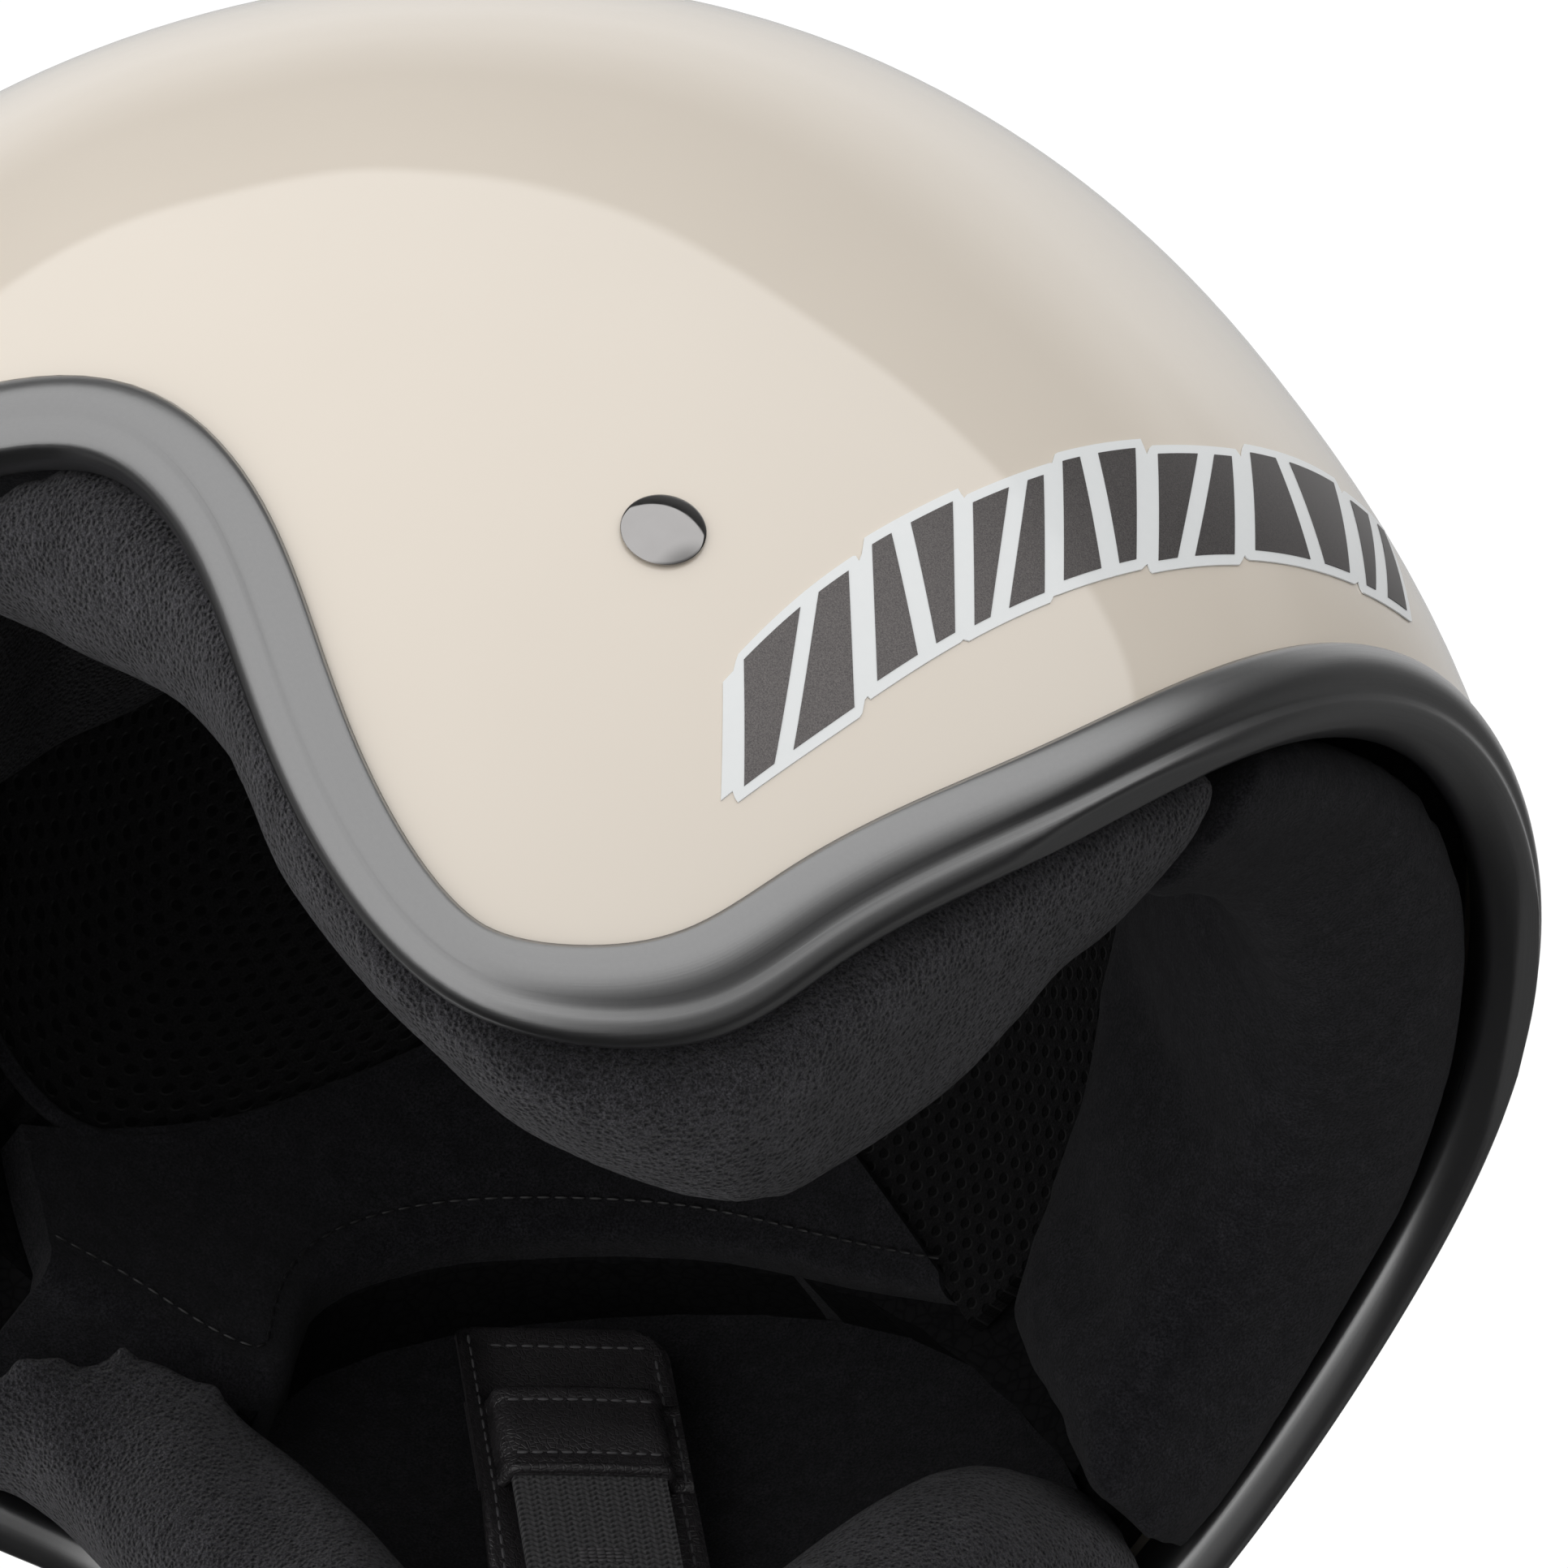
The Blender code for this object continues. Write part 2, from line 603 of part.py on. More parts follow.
def oriented_box(name, centre, directions, sizes, look_name, look, origin, bevel=0.0):
    """A box along three directions."""
    work = bmesh.new()
    bmesh.ops.create_cube(work, size=1)
    for vertex in work.verts:
        local = vertex.co.copy()
        vertex.co = Vector(centre) + sum((d * (c * s) for d, c, s in zip(directions, local, sizes)), Vector())
    if bevel:
        bmesh.ops.bevel(work, geom=work.edges[:], offset=bevel, segments=1, affect="EDGES")
    points = [v.co.copy() for v in work.verts]
    work.verts.index_update()
    faces = [[v.index for v in f.verts] for f in work.faces]
    work.free()
    return add(name, points, faces, look_name, look, parts, origin, smooth=False)


def make_anchor_plate(side, name):
    place, axis, along, across = rivet_frame(side)
    centre = place - axis * (PLATE_DEPTH + PLATE_THICKNESS / 2)
    plate = oriented_box("anchor_plate_" + name, centre, (across, along, axis),
                         (PLATE_WIDTH, PLATE_LENGTH, PLATE_THICKNESS), "steel", STEEL, place)
    hole = cylinder("plate_hole_" + name, RIVET_HOLE_RADIUS, place, place - axis * 12 * MM, 16, cutters)
    cut(plate, as_cutter(hole))


# ---- Chin strap -------------------------------------------------------------------------------

def strap_basis(side):
    """The strap's origin at its anchor fold, and its across, along and inward directions."""
    origin = Vector((side * STRAP_X, STRAP_Y, STRAP_Z))
    along = Vector((0, math.sin(STRAP_LEAN), math.cos(STRAP_LEAN)))
    level = Vector((0, math.cos(STRAP_LEAN), -math.sin(STRAP_LEAN)))
    wall = Vector((side, 0, 0))
    across = level * math.cos(STRAP_TWIST) + wall * math.sin(STRAP_TWIST)
    inward = level * math.sin(STRAP_TWIST) - wall * math.cos(STRAP_TWIST)
    return origin, across, along, inward


def strap_point(side, w, l, m):
    origin, across, along, inward = strap_basis(side)
    return origin + across * w + along * l + inward * m


def ribbon(name, side, path, width, thickness, look_name, look, origin):
    """A flat band that follows (l, m) points in mm, across its whole width."""
    path = np.asarray(path, float) * MM
    tangent = np.gradient(path, axis=0)
    tangent /= np.linalg.norm(tangent, axis=1, keepdims=True)
    normal = np.stack([-tangent[:, 1], tangent[:, 0]], axis=-1)
    rings = []
    for (l, m), (nl, nm) in zip(path, normal):
        half = thickness / 2
        corners = ((-1, -1), (1, -1), (1, 1), (-1, 1))
        rings.append([strap_point(side, a * width / 2, l + b * half * nl, m + b * half * nm) for a, b in corners])
    return loft(name, rings, look_name, look, origin)


def arc_path(centre, radius, start, end, count):
    """(l, m) points round a centre, in mm, with angles in degrees from +l towards +m."""
    return [(centre[0] + radius * math.cos(math.radians(a)), centre[1] + radius * math.sin(math.radians(a)))
            for a in np.linspace(start, end, count)]


def comfort_pad(name, side, low, high, m, pivot):
    """A flat leather pad from l = low to l = high, with rounded corners and thinned edges."""
    half = LEATHER_WIDTH / 2
    thick = LEATHER_THICKNESS / 2
    stations = ((low, 0.86), (low + 2.5 * MM, 1.0), ((low + high) / 2, 1.0), (high - 7 * MM, 1.0),
                (high - 2.5 * MM, 0.93), (high, 0.74))
    section = ((-1, -0.5), (-0.96, -1), (0.96, -1), (1, -0.5), (1, 0.5), (0.96, 1), (-0.96, 1), (-1, 0.5))
    rings = [[strap_point(side, w * half * share, l, m + up * thick) for w, up in section] for l, share in stations]
    loft(name, rings, "leather", BLACK_LEATHER, pivot)


def make_anchor_webbing(side, name, pivot):
    """The short loop of webbing that comes from the plate to the strap's fold."""
    path = [(2.5, -13.2), (-0.8, -12.9), (-3.3, -11.2), (-3.8, -8), (-3.2, -4), (-2.4, -1.2)]
    ribbon("anchor_webbing_" + name, side, path, WEBBING_WIDTH, WEBBING_THICKNESS, "webbing", BLACK_WEBBING, pivot)


def make_right_strap():
    """The long strap, stowed: up behind its comfort pad, over the top, and down through the keeper."""
    side = -1
    pivot = strap_basis(side)[0]
    top = RIGHT_STRAP_LENGTH / MM
    back = [(2.5, -3.2), (top - 3, -3.2)]
    ribbon("strap_webbing_right_back", side, back, WEBBING_WIDTH, WEBBING_THICKNESS, "webbing", BLACK_WEBBING, pivot)
    front = [(KEEPER_SPAN[1] - 3, 3.5), (0, 3.5), (-2.4, 2.9)]
    ribbon("strap_webbing_right_front", side, front, WEBBING_WIDTH, WEBBING_THICKNESS, "webbing",
           BLACK_WEBBING, pivot)
    comfort_pad("strap_pad_right", side, 4 * MM, RIGHT_STRAP_LENGTH, 0.0, pivot)
    half = 16 * MM
    low, high = 1.2 * MM, 4.6 * MM
    section = ((-half, low), (-half + 3.5 * MM, low), (-half + 4.1 * MM, high), (half - 4.1 * MM, high),
               (half - 3.5 * MM, low), (half, low), (half, low + 1.2 * MM), (half - 2.9 * MM, high + 1.2 * MM),
               (-half + 2.9 * MM, high + 1.2 * MM), (-half, low + 1.2 * MM))
    rings = [[strap_point(side, w, l * MM, m) for w, m in section] for l in KEEPER_SPAN]
    loft("strap_keeper_right", rings, "leather", BLACK_LEATHER, pivot)
    oriented_box("strap_bartack_right", strap_point(side, 0, 12 * MM, 4.85 * MM), strap_basis(side)[1:],
                 (8 * MM, 3 * MM, 0.5 * MM), "webbing", BLACK_WEBBING, pivot)


def make_left_strap():
    """The short strap, with its comfort pad and a loop that holds both D-rings."""
    side = 1
    pivot = strap_basis(side)[0]
    top = LEFT_STRAP_LENGTH / MM
    loop = [(2.5, -3.9)] + arc_path((top + 2.2, 0.9), 4.8, -90, 90, 7) + [(top - 14, 5.5)]
    ribbon("strap_webbing_left", side, loop, WEBBING_WIDTH, WEBBING_THICKNESS, "webbing", BLACK_WEBBING, pivot)
    comfort_pad("strap_pad_left", side, 4 * MM, LEFT_STRAP_LENGTH + 2 * MM, -6.4 * MM, pivot)
    make_ring("d_ring_outer", side, top + 2.4, -0.85)
    make_ring("d_ring_inner", side, top + 2.4, 2.75)
    tab = [(top + 18, 5.9), (top + 12, 5.9), (top + 6.5, 7.4)]
    ring_axis = strap_point(side, 0, (top + 2.4) * MM, 2.75 * MM)
    ribbon("pull_tab", side, tab, 12 * MM, 1.2 * MM, "pull_tab", RED_WEBBING, ring_axis)


def make_ring(name, side, l, m):
    """A D-ring: a straight bar in the webbing's loop and a bow beyond it."""
    origin, across, along, inward = strap_basis(side)
    pivot = strap_point(side, 0, l * MM, m * MM)
    corner = 4 * MM
    bow = RING_HALF_WIDTH
    outline = [(-bow + corner, 0), (bow - corner, 0)]
    outline += [(bow - corner + corner * math.sin(a), corner - corner * math.cos(a)) for a in np.radians((30, 60, 90))]
    straight = RING_DEPTH - bow
    outline += [(bow * math.cos(a), straight + bow * math.sin(a)) for a in np.radians(np.linspace(0, 180, 9))]
    outline += [(-(bow - corner) - corner * math.sin(a), corner - corner * math.cos(a)) for a in np.radians((90, 60, 30))]
    data = bpy.data.curves.new(name, "CURVE")
    data.dimensions = "3D"
    data.bevel_depth = RING_WIRE_RADIUS
    data.bevel_resolution = 2
    line = data.splines.new("POLY")
    line.points.add(len(outline) - 1)
    line.use_cyclic_u = True
    for target, (w, rise) in zip(line.points, outline):
        target.co = (*(across * w + along * rise), 1)
    data.materials.append(material("steel", STEEL))
    ring = bpy.data.objects.new(name, data)
    ring.location = pivot
    ring.parent = frame
    parts.objects.link(ring)


# ---- Decals -----------------------------------------------------------------------------------

def make_decal(side, name):
    foot, head = spline(flat(DECAL_FOOT), 13), spline(flat(DECAL_HEAD), 13)
    rings = []
    for low, high in zip(foot, head):
        ring = []
        for share, lift in ((0, 0), (0.33, 0), (0.67, 0), (1, 0), (1, 1), (0.67, 1), (0.33, 1), (0, 1)):
            place = low * (1 - share) + high * share
            ring.append(point(place, -(DECAL_LIFT + DECAL_THICKNESS * lift)))
        rings.append(np.array(ring))
    loft("decal_" + name, mirror_points(rings, side), "decal", WHITE_VINYL)


# ---- Assembly ---------------------------------------------------------------------------------

def pocket(name, side, width, low, high, start, end):
    """A cutter box in the strap's frame, for the strap's way through foam and lining."""
    work = bmesh.new()
    bmesh.ops.create_cube(work, size=1)
    _, across, along, inward = strap_basis(side)
    centre = strap_point(side, 0, (low + high) / 2, (start + end) / 2)
    sizes = (width, high - low, end - start)
    for vertex in work.verts:
        local = vertex.co.copy()
        vertex.co = centre + sum((d * (c * s) for d, c, s in zip((across, along, inward), local, sizes)), Vector())
    work.normal_update()
    bmesh.ops.recalc_face_normals(work, faces=work.faces)
    mesh = bpy.data.meshes.new(name)
    work.to_mesh(mesh)
    work.free()
    thing = bpy.data.objects.new(name, mesh)
    thing.parent = frame
    cutters.objects.link(thing)
    return as_cutter(thing)


def build():
    shell_holes = []
    pockets = []
    for side, name in ((1, "left"), (-1, "right")):
        place, axis, _, _ = rivet_frame(side)
        hole = cylinder("shell_hole_" + name, RIVET_HOLE_RADIUS, place + axis * 5 * MM, place - axis * 8 * MM, 16, cutters)
        shell_holes.append(as_cutter(hole))
        pockets.append(pocket("strap_pocket_" + name, side, 38 * MM, -18 * MM, 16 * MM, -30 * MM, 0.0))
        make_rivet(side, name)
        make_anchor_plate(side, name)
        make_anchor_webbing(side, name, place)
        make_decal(side, name)
    make_shell(shell_holes)
    foot_level = make_trim()
    make_foam(pockets + [ear_recess("ear_recess_left", 1), ear_recess("ear_recess_right", -1)])
    make_pads()
    make_linings(pockets)
    make_crown_pad()
    make_right_strap()
    make_left_strap()
    return foot_level


def lean_back(foot_level):
    """Leans the helmet back onto its lobes and nape, with its plan box centred on the origin."""
    frame.rotation_euler = Euler((-LEAN, 0, 0))
    bpy.context.view_layer.update()
    depsgraph = bpy.context.evaluated_depsgraph_get()
    lengths = []
    for name in ("outer_shell", "edge_trim"):
        thing = bpy.data.objects[name].evaluated_get(depsgraph)
        lengths += [(thing.matrix_world @ v.co).y for v in thing.data.vertices]
    frame.location = (0, -(min(lengths) + max(lengths)) / 2, foot_level)
    bpy.context.view_layer.update()


clear_scene()
parts = new_collection("open_face_helmet")
cutters = new_collection("cutters")
frame = bpy.data.objects.new("head_frame", None)
parts.objects.link(frame)
lean_back(build())
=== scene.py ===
"""Open face motorcycle helmet: finished surfaces, materials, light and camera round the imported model.

Shapes are worked out in the wearer's head frame (the wearer looks along -Y, +X is the wearer's
left, +Z is up) and carried into the row frame, where the helmet leans back onto its trim.
Lengths are in metres unless a name or a comment says otherwise.
"""

import math

import bmesh
import bpy
import numpy as np
from mathutils import Matrix, Vector, noise
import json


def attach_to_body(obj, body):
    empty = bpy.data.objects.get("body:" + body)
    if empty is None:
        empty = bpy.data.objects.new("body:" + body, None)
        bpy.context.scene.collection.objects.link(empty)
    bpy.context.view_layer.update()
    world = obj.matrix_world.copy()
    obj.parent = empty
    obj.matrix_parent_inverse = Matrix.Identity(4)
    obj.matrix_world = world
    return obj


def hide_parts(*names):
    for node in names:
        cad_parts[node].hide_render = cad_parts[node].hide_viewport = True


MM = 0.001
FULL_TURN = 2 * math.pi

# The shell's closed form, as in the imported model.
HALF_WIDTH = 0.1232
FRONT = 0.1387
REAR = 0.1369
TOP = 0.1322
DEEP = 0.1499
TOP_POWER = 2.19
DEEP_POWER = 2.33
RAKE = -0.0085
LEAN = math.radians(18.3)
GIRTH_RADIUS = 0.12
GIRTH = FULL_TURN * GIRTH_RADIUS
POLE = np.array([0.0, math.sin(math.radians(25)), math.cos(math.radians(25))])
SHELL_THICKNESS = 4.4 * MM

# Curves on the shell, as (degrees round from the forehead, height in mm).
RIM = (
    (0, 30), (22, 30), (37.5, 30), (51.5, 10), (62, -6.5), (64, -21.5), (62.5, -49.5), (60.5, -74.5),
    (62.5, -98.5), (69.5, -109), (79, -113), (89, -110.5), (109.5, -103.5), (131, -89), (154, -75.5),
    (180, -73.5),
)
SIDE_LINER_FOOT = (
    (51, 24), (58, 17), (64, 7), (70, 2), (75, 12), (80, 19), (86, 21), (105, 12), (114, 1), (122, -15),
    (130, -32),
)
EAR_LINING_FOOT = (
    (60, -22), (68, -36), (74, -56), (80, -70), (90, -80), (101, -82), (113, -80), (128, -78),
)
EAR_LINING_HEAD = (
    (60, 2), (68, 2), (75, 14), (84, 22), (104, 13), (114, 2), (122, -14), (129, -34),
)
CHEEK_PAD_HEAD = (
    (58.5, 8), (63, -2), (67, -13), (70.5, -28), (74, -46), (79, -61), (89, -70), (101, -71), (113, -68),
    (122, -66), (129.5, -67),
)
BROW_PAD_HEAD = ((0, 88), (24, 88), (47, 80))
NECK_PAD_HEAD = ((133, -46), (145, -33), (153, -26), (160, -18), (180, -10))
REAR_PANEL_FOOT = ((130.5, -40), (145, -35), (153, -28), (160, -20), (180, -12))
CROWN_FOOT = ((0, 66), (44, 64), (56, 48), (75, 45), (180, 45))
LINING_HEAD_HEIGHT = 47 * MM
DECAL_FOOT = ((85.5, -91.5), (95, -86.5), (105, -80), (117, -72.5), (129, -66), (141, -61), (153, -56.5))
DECAL_HEAD = ((87, -77.5), (97, -67.5), (108, -59), (120, -50.5), (133, -43), (145, -36), (155, -31))

# Depths below the shell's outer face.
RECESS_FLOOR = 13.0 * MM
EAR_LINING_DEPTH = 15.0 * MM
LINER_BACK = 31.7 * MM
LINER_FACE = 36.7 * MM
MESH_FACE = 34.7 * MM
CROWN_PAD_BACK = 37.0 * MM
CROWN_PAD_THICKNESS = 8.0 * MM
CROWN_PAD_HALF_WIDTH = 0.030
CHEEK_PAD_BACK = 15.8 * MM
TRIM_CLEARANCE = 7.0 * MM
PAD_INSET = 0.8 * MM
PAD_SECTION_POINTS = 30

# Strap rivets.
RIVET_ANGLE = 89.5
RIVET_HEIGHT = -55.5 * MM
PLATE_DEPTH = 6.6 * MM
PLATE_THICKNESS = 1.6 * MM

# Chin strap, in its own frame: across (w), along (l) and towards the head (m), in mm.
STRAP_LEAN = math.radians(16.6)
STRAP_TWIST = math.radians(9.4)
STRAP_X = 0.0925
STRAP_Y = -3.6 * MM
STRAP_Z = -55.4 * MM
WEBBING_WIDTH = 23
WEBBING_THICKNESS = 1.5
LEATHER_WIDTH = 33
LEATHER_THICKNESS = 1.8
RIGHT_STRAP_LENGTH = 60
LEFT_STRAP_LENGTH = 40
KEEPER_SPAN = (27, 44)
RING_WIRE_RADIUS = 1.6 * MM
RING_HALF_WIDTH = 14
RING_DEPTH = 19

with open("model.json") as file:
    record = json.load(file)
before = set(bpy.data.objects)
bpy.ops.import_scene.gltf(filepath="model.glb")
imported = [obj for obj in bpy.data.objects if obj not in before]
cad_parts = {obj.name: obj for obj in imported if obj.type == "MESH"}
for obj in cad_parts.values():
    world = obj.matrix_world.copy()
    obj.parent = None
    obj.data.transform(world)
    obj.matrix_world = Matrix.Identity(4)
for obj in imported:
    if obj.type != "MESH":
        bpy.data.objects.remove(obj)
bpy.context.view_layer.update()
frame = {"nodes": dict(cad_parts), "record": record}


# ---- Shape of the shell -------------------------------------------------------------------

def unit(vectors):
    """Vectors made one long."""
    return vectors / np.linalg.norm(vectors, axis=-1, keepdims=True)


def travel(path):
    """The distance along a path at each of its points."""
    return np.concatenate(([0.0], np.cumsum(np.linalg.norm(np.diff(path, axis=0), axis=1))))


def left_normals(path):
    """Unit normals to the left of a path in a plane."""
    tangent = unit(np.gradient(path, axis=0))
    return np.stack([-tangent[:, 1], tangent[:, 0]], axis=-1)


def surface(angle, height, depth=0.0):
    """Points at a depth below the shell's outer face, from angle (radians) and height."""
    angle, height, depth = np.broadcast_arrays(angle, height, depth)
    across = np.sin(angle)
    along = -np.cos(angle)
    half_length = np.where(along < 0, FRONT, REAR) - depth
    half_height = np.where(height > 0, TOP - depth, DEEP)
    power = np.where(height > 0, TOP_POWER, DEEP_POWER)
    fall = np.maximum(1 - (np.abs(height) / half_height) ** power, 0) ** (1 / power)
    radius = fall / np.sqrt((across / (HALF_WIDTH - depth)) ** 2 + (along / half_length) ** 2)
    return np.stack([radius * across, radius * along + RAKE * height, height], axis=-1)


def outward(angle, height):
    """Unit normals of the shell's outer face."""
    step = 1e-4
    round_shell = surface(angle + step, height) - surface(angle - step, height)
    up_shell = surface(angle, height + step) - surface(angle, height - step)
    return unit(np.cross(round_shell, up_shell))


def radial(direction, depth=0.0):
    """Points where rays from the centre meet the surface at a depth."""
    x, y, z = np.moveaxis(direction, -1, 0)
    half_length = np.where(y < 0, FRONT, REAR) - depth
    half_height = np.where(z > 0, TOP - depth, DEEP)
    power = np.where(z > 0, TOP_POWER, DEEP_POWER)
    plan = (x / (HALF_WIDTH - depth)) ** 2 + (y / half_length) ** 2
    size = (plan ** (power / 2) + (np.abs(z) / half_height) ** power) ** (-1 / power)
    points = direction * size[..., None]
    points[..., 1] += RAKE * points[..., 2]
    return points


def spline(points, count, first=0, last=None, at=None):
    """Natural cubic spline through points: even samples between two knots, or the shares in at."""
    points = np.asarray(points, float)
    knots = travel(points)
    steps = np.linalg.norm(np.diff(points, axis=0), axis=1)
    matrix = np.eye(len(knots))
    bends = np.zeros_like(points)
    for i in range(1, len(knots) - 1):
        before, after = steps[i - 1], steps[i]
        matrix[i, i - 1:i + 2] = before, 2 * (before + after), after
        bends[i] = 6 * ((points[i + 1] - points[i]) / after - (points[i] - points[i - 1]) / before)
    bends = np.linalg.solve(matrix, bends)
    end = knots[-1] if last is None else knots[last]
    share = np.linspace(0, 1, count) if at is None else np.asarray(at)
    at = knots[first] + share * (end - knots[first])
    i = np.clip(np.searchsorted(knots, at, side="right") - 1, 0, len(steps) - 1)
    h = steps[i][:, None]
    a = (knots[i + 1] - at)[:, None]
    b = (at - knots[i])[:, None]
    curve = (bends[i] * a ** 3 + bends[i + 1] * b ** 3) / (6 * h)
    curve += (points[i] / h - bends[i] * h / 6) * a
    return curve + (points[i + 1] / h - bends[i + 1] * h / 6) * b


def closed_spline(points, count):
    """A smooth closed loop through points, without repeating the first one."""
    points = np.asarray(points, float)
    wrapped = np.concatenate([points[-3:], points, points[:4]])
    return spline(wrapped, count + 1, first=3, last=3 + len(points))[:-1]


def flat(points):
    """(degrees, mm) pairs as metres on the unrolled shell."""
    points = np.asarray(points, float)
    return np.stack([np.radians(points[:, 0]) * GIRTH_RADIUS, points[:, 1] * MM], axis=-1)


def edge(lift, count):
    """Half of the helmet's edge on the unrolled shell, moved up into the shell by lift."""
    half = flat(RIM)
    before = half[2:0:-1] * (-1, 1)
    after = half[-2:-4:-1] * (-1, 1) + (GIRTH, 0)
    curve = spline(np.concatenate([before, half, after]), count, first=2, last=len(half) + 1)
    normal = left_normals(curve)
    normal[0] = normal[-1] = (0, 1)
    return curve + normal * lift


def whole_loop(half):
    """A half edge and its mirror image as one closed loop."""
    return np.concatenate([half, half[-2:0:-1] * (-1, 1)])


def edge_between(start, end, count):
    """The part of the edge between two angles in degrees, with an even step."""
    fine = edge(0, 801)
    degrees = np.degrees(fine[:, 0] / GIRTH_RADIUS)
    first = int(np.argmax(degrees >= start))
    last = len(degrees) - 1 - int(np.argmax(degrees[::-1] <= end))
    return spline(fine[first:last + 1:8], count)


def point(flat_point, depth):
    """Surface points of unrolled points at a depth."""
    flat_point = np.asarray(flat_point)
    return surface(flat_point[..., 0] / GIRTH_RADIUS, flat_point[..., 1], depth)


def mirrored_span(half):
    """A half curve from the middle plane, made whole across it."""
    return np.concatenate([half[:0:-1] * (-1, 1), half])


def round_nape(half):
    """A half curve that ends at the nape, carried on round to the other side."""
    return np.concatenate([half, half[-2::-1] * (-1, 1) + (GIRTH, 0)])


def towards_pole(foot, depth, rows):
    """Directions from a foot curve on the unrolled shell up to the pole, row by row."""
    start = point(foot, depth)
    start[:, 1] -= RAKE * start[:, 2]
    start = unit(start)
    swing = np.arccos(start @ POLE)[:, None]
    shares = [row / rows for row in range(rows)]
    return [(np.sin((1 - s) * swing) * start + np.sin(s * swing) * POLE) / np.sin(swing) for s in shares]


def head_matrix():
    """The head frame's place in the row frame, found from the left strap's fold."""
    joints = frame["record"]["behaviour"]["joints"]
    fold = next(joint for joint in joints if joint["name"] == "strap_fold_left")
    turn = Matrix.Rotation(-LEAN, 4, "X")
    return Matrix.Translation(Vector(fold["pos_m"]) - turn @ Vector((STRAP_X, STRAP_Y, STRAP_Z))) @ turn


HEAD = head_matrix()
HEAD_TURN = np.array(HEAD.to_3x3())
HEAD_PLACE = np.array(HEAD.translation)


# ---- Node materials -------------------------------------------------------------------------

class Nodes:
    """A node tree, written as short calls."""

    def __init__(self, tree):
        self.nodes = tree.nodes
        self.links = tree.links

    def add(self, kind, **inputs):
        """A node; keyword settings are attributes, or input sockets by name or as i and a number."""
        node = self.nodes.new("ShaderNode" + kind)
        for key, value in inputs.items():
            if hasattr(node, key):
                setattr(node, key, value)
                continue
            by_number = key[0] == "i" and key[1:].isdigit()
            socket = node.inputs[int(key[1:]) if by_number else key]
            if hasattr(value, "is_output"):
                self.links.new(value, socket)
            else:
                socket.default_value = value
        return node

    def math(self, operation, a, b):
        return self.add("Math", operation=operation, i0=a, i1=b).outputs[0]

    def total(self, a, b):
        return self.math("ADD", a, b)

    def times(self, a, b):
        return self.math("MULTIPLY", a, b)

    def between(self, value, low, high, start=0.0, end=1.0, interpolation="LINEAR"):
        """Value from low..high mapped onto start..end, clamped."""
        return self.add("MapRange", interpolation_type=interpolation, i0=value, i1=low, i2=high,
                        i3=start, i4=end).outputs[0]


class Tree(Nodes):
    """A material on one Principled shader; shade darkens every colour given to it."""

    def __init__(self, name, colour, roughness, metallic=0.0, shade=1.0, **sockets):
        self.material = bpy.data.materials.new(name)
        self.material.use_nodes = True
        super().__init__(self.material.node_tree)
        self.shader = self.nodes["Principled BSDF"]
        self.shade = shade
        settings = {"Base Color": self.dimmed(colour), "Roughness": roughness, "Metallic": metallic}
        for socket, value in (settings | sockets).items():
            self.shader.inputs[socket.replace("_", " ")].default_value = value
        self.material.diffuse_color = self.dimmed(colour)

    def dimmed(self, colour):
        return (*(level * self.shade for level in colour), 1)

    def place(self):
        return self.add("TexCoord").outputs["Object"]

    def flow(self):
        """Distances in mm along and across a piece, stored with its mesh."""
        return self.add("Attribute", attribute_name="flow").outputs["Vector"]

    def scaled(self, vector, scale):
        return self.add("Mapping", Vector=vector, Scale=scale).outputs[0]

    def noise(self, scale, detail=3.0, vector=None, roughness=0.55):
        return self.add("TexNoise", Scale=scale, Detail=detail, Roughness=roughness,
                        Vector=vector or self.place()).outputs["Fac"]

    def spread(self, scale, detail, start=0.0, end=1.0):
        """Noise whose middle range runs from start to end."""
        return self.between(self.noise(scale, detail), 0.3, 0.7, start, end)

    def cells(self, scale, feature="F1", vector=None):
        return self.add("TexVoronoi", feature=feature, Scale=scale,
                        Vector=vector or self.place()).outputs["Distance"]

    def tint(self, value, dark, light):
        """Base colour that runs from dark to light with a value of 0 to 1."""
        ramp = self.add("ValToRGB", Fac=value)
        for element, colour in zip(ramp.color_ramp.elements, (dark, light)):
            element.color = self.dimmed(colour)
        self.links.new(ramp.outputs["Color"], self.shader.inputs["Base Color"])

    def rough(self, value):
        self.links.new(value, self.shader.inputs["Roughness"])

    def bump(self, height, depth_mm, strength=1.0, onto=("Normal",)):
        node = self.add("Bump", Strength=strength, Distance=depth_mm * MM, Height=height)
        for socket in onto:
            self.links.new(node.outputs["Normal"], self.shader.inputs[socket])


def paint():
    tree = Tree("cream_lacquer", (0.745, 0.666, 0.568), 0.42, Coat_Weight=1.0, Coat_Roughness=0.015,
                Coat_IOR=1.75)
    tree.tint(tree.spread(45, 2), (0.742, 0.663, 0.565), (0.748, 0.669, 0.571))
    tree.rough(tree.spread(900, 2, 0.40, 0.46))
    tree.bump(tree.noise(120, 1), 0.012, 0.35, ("Coat Normal",))
    return tree.material


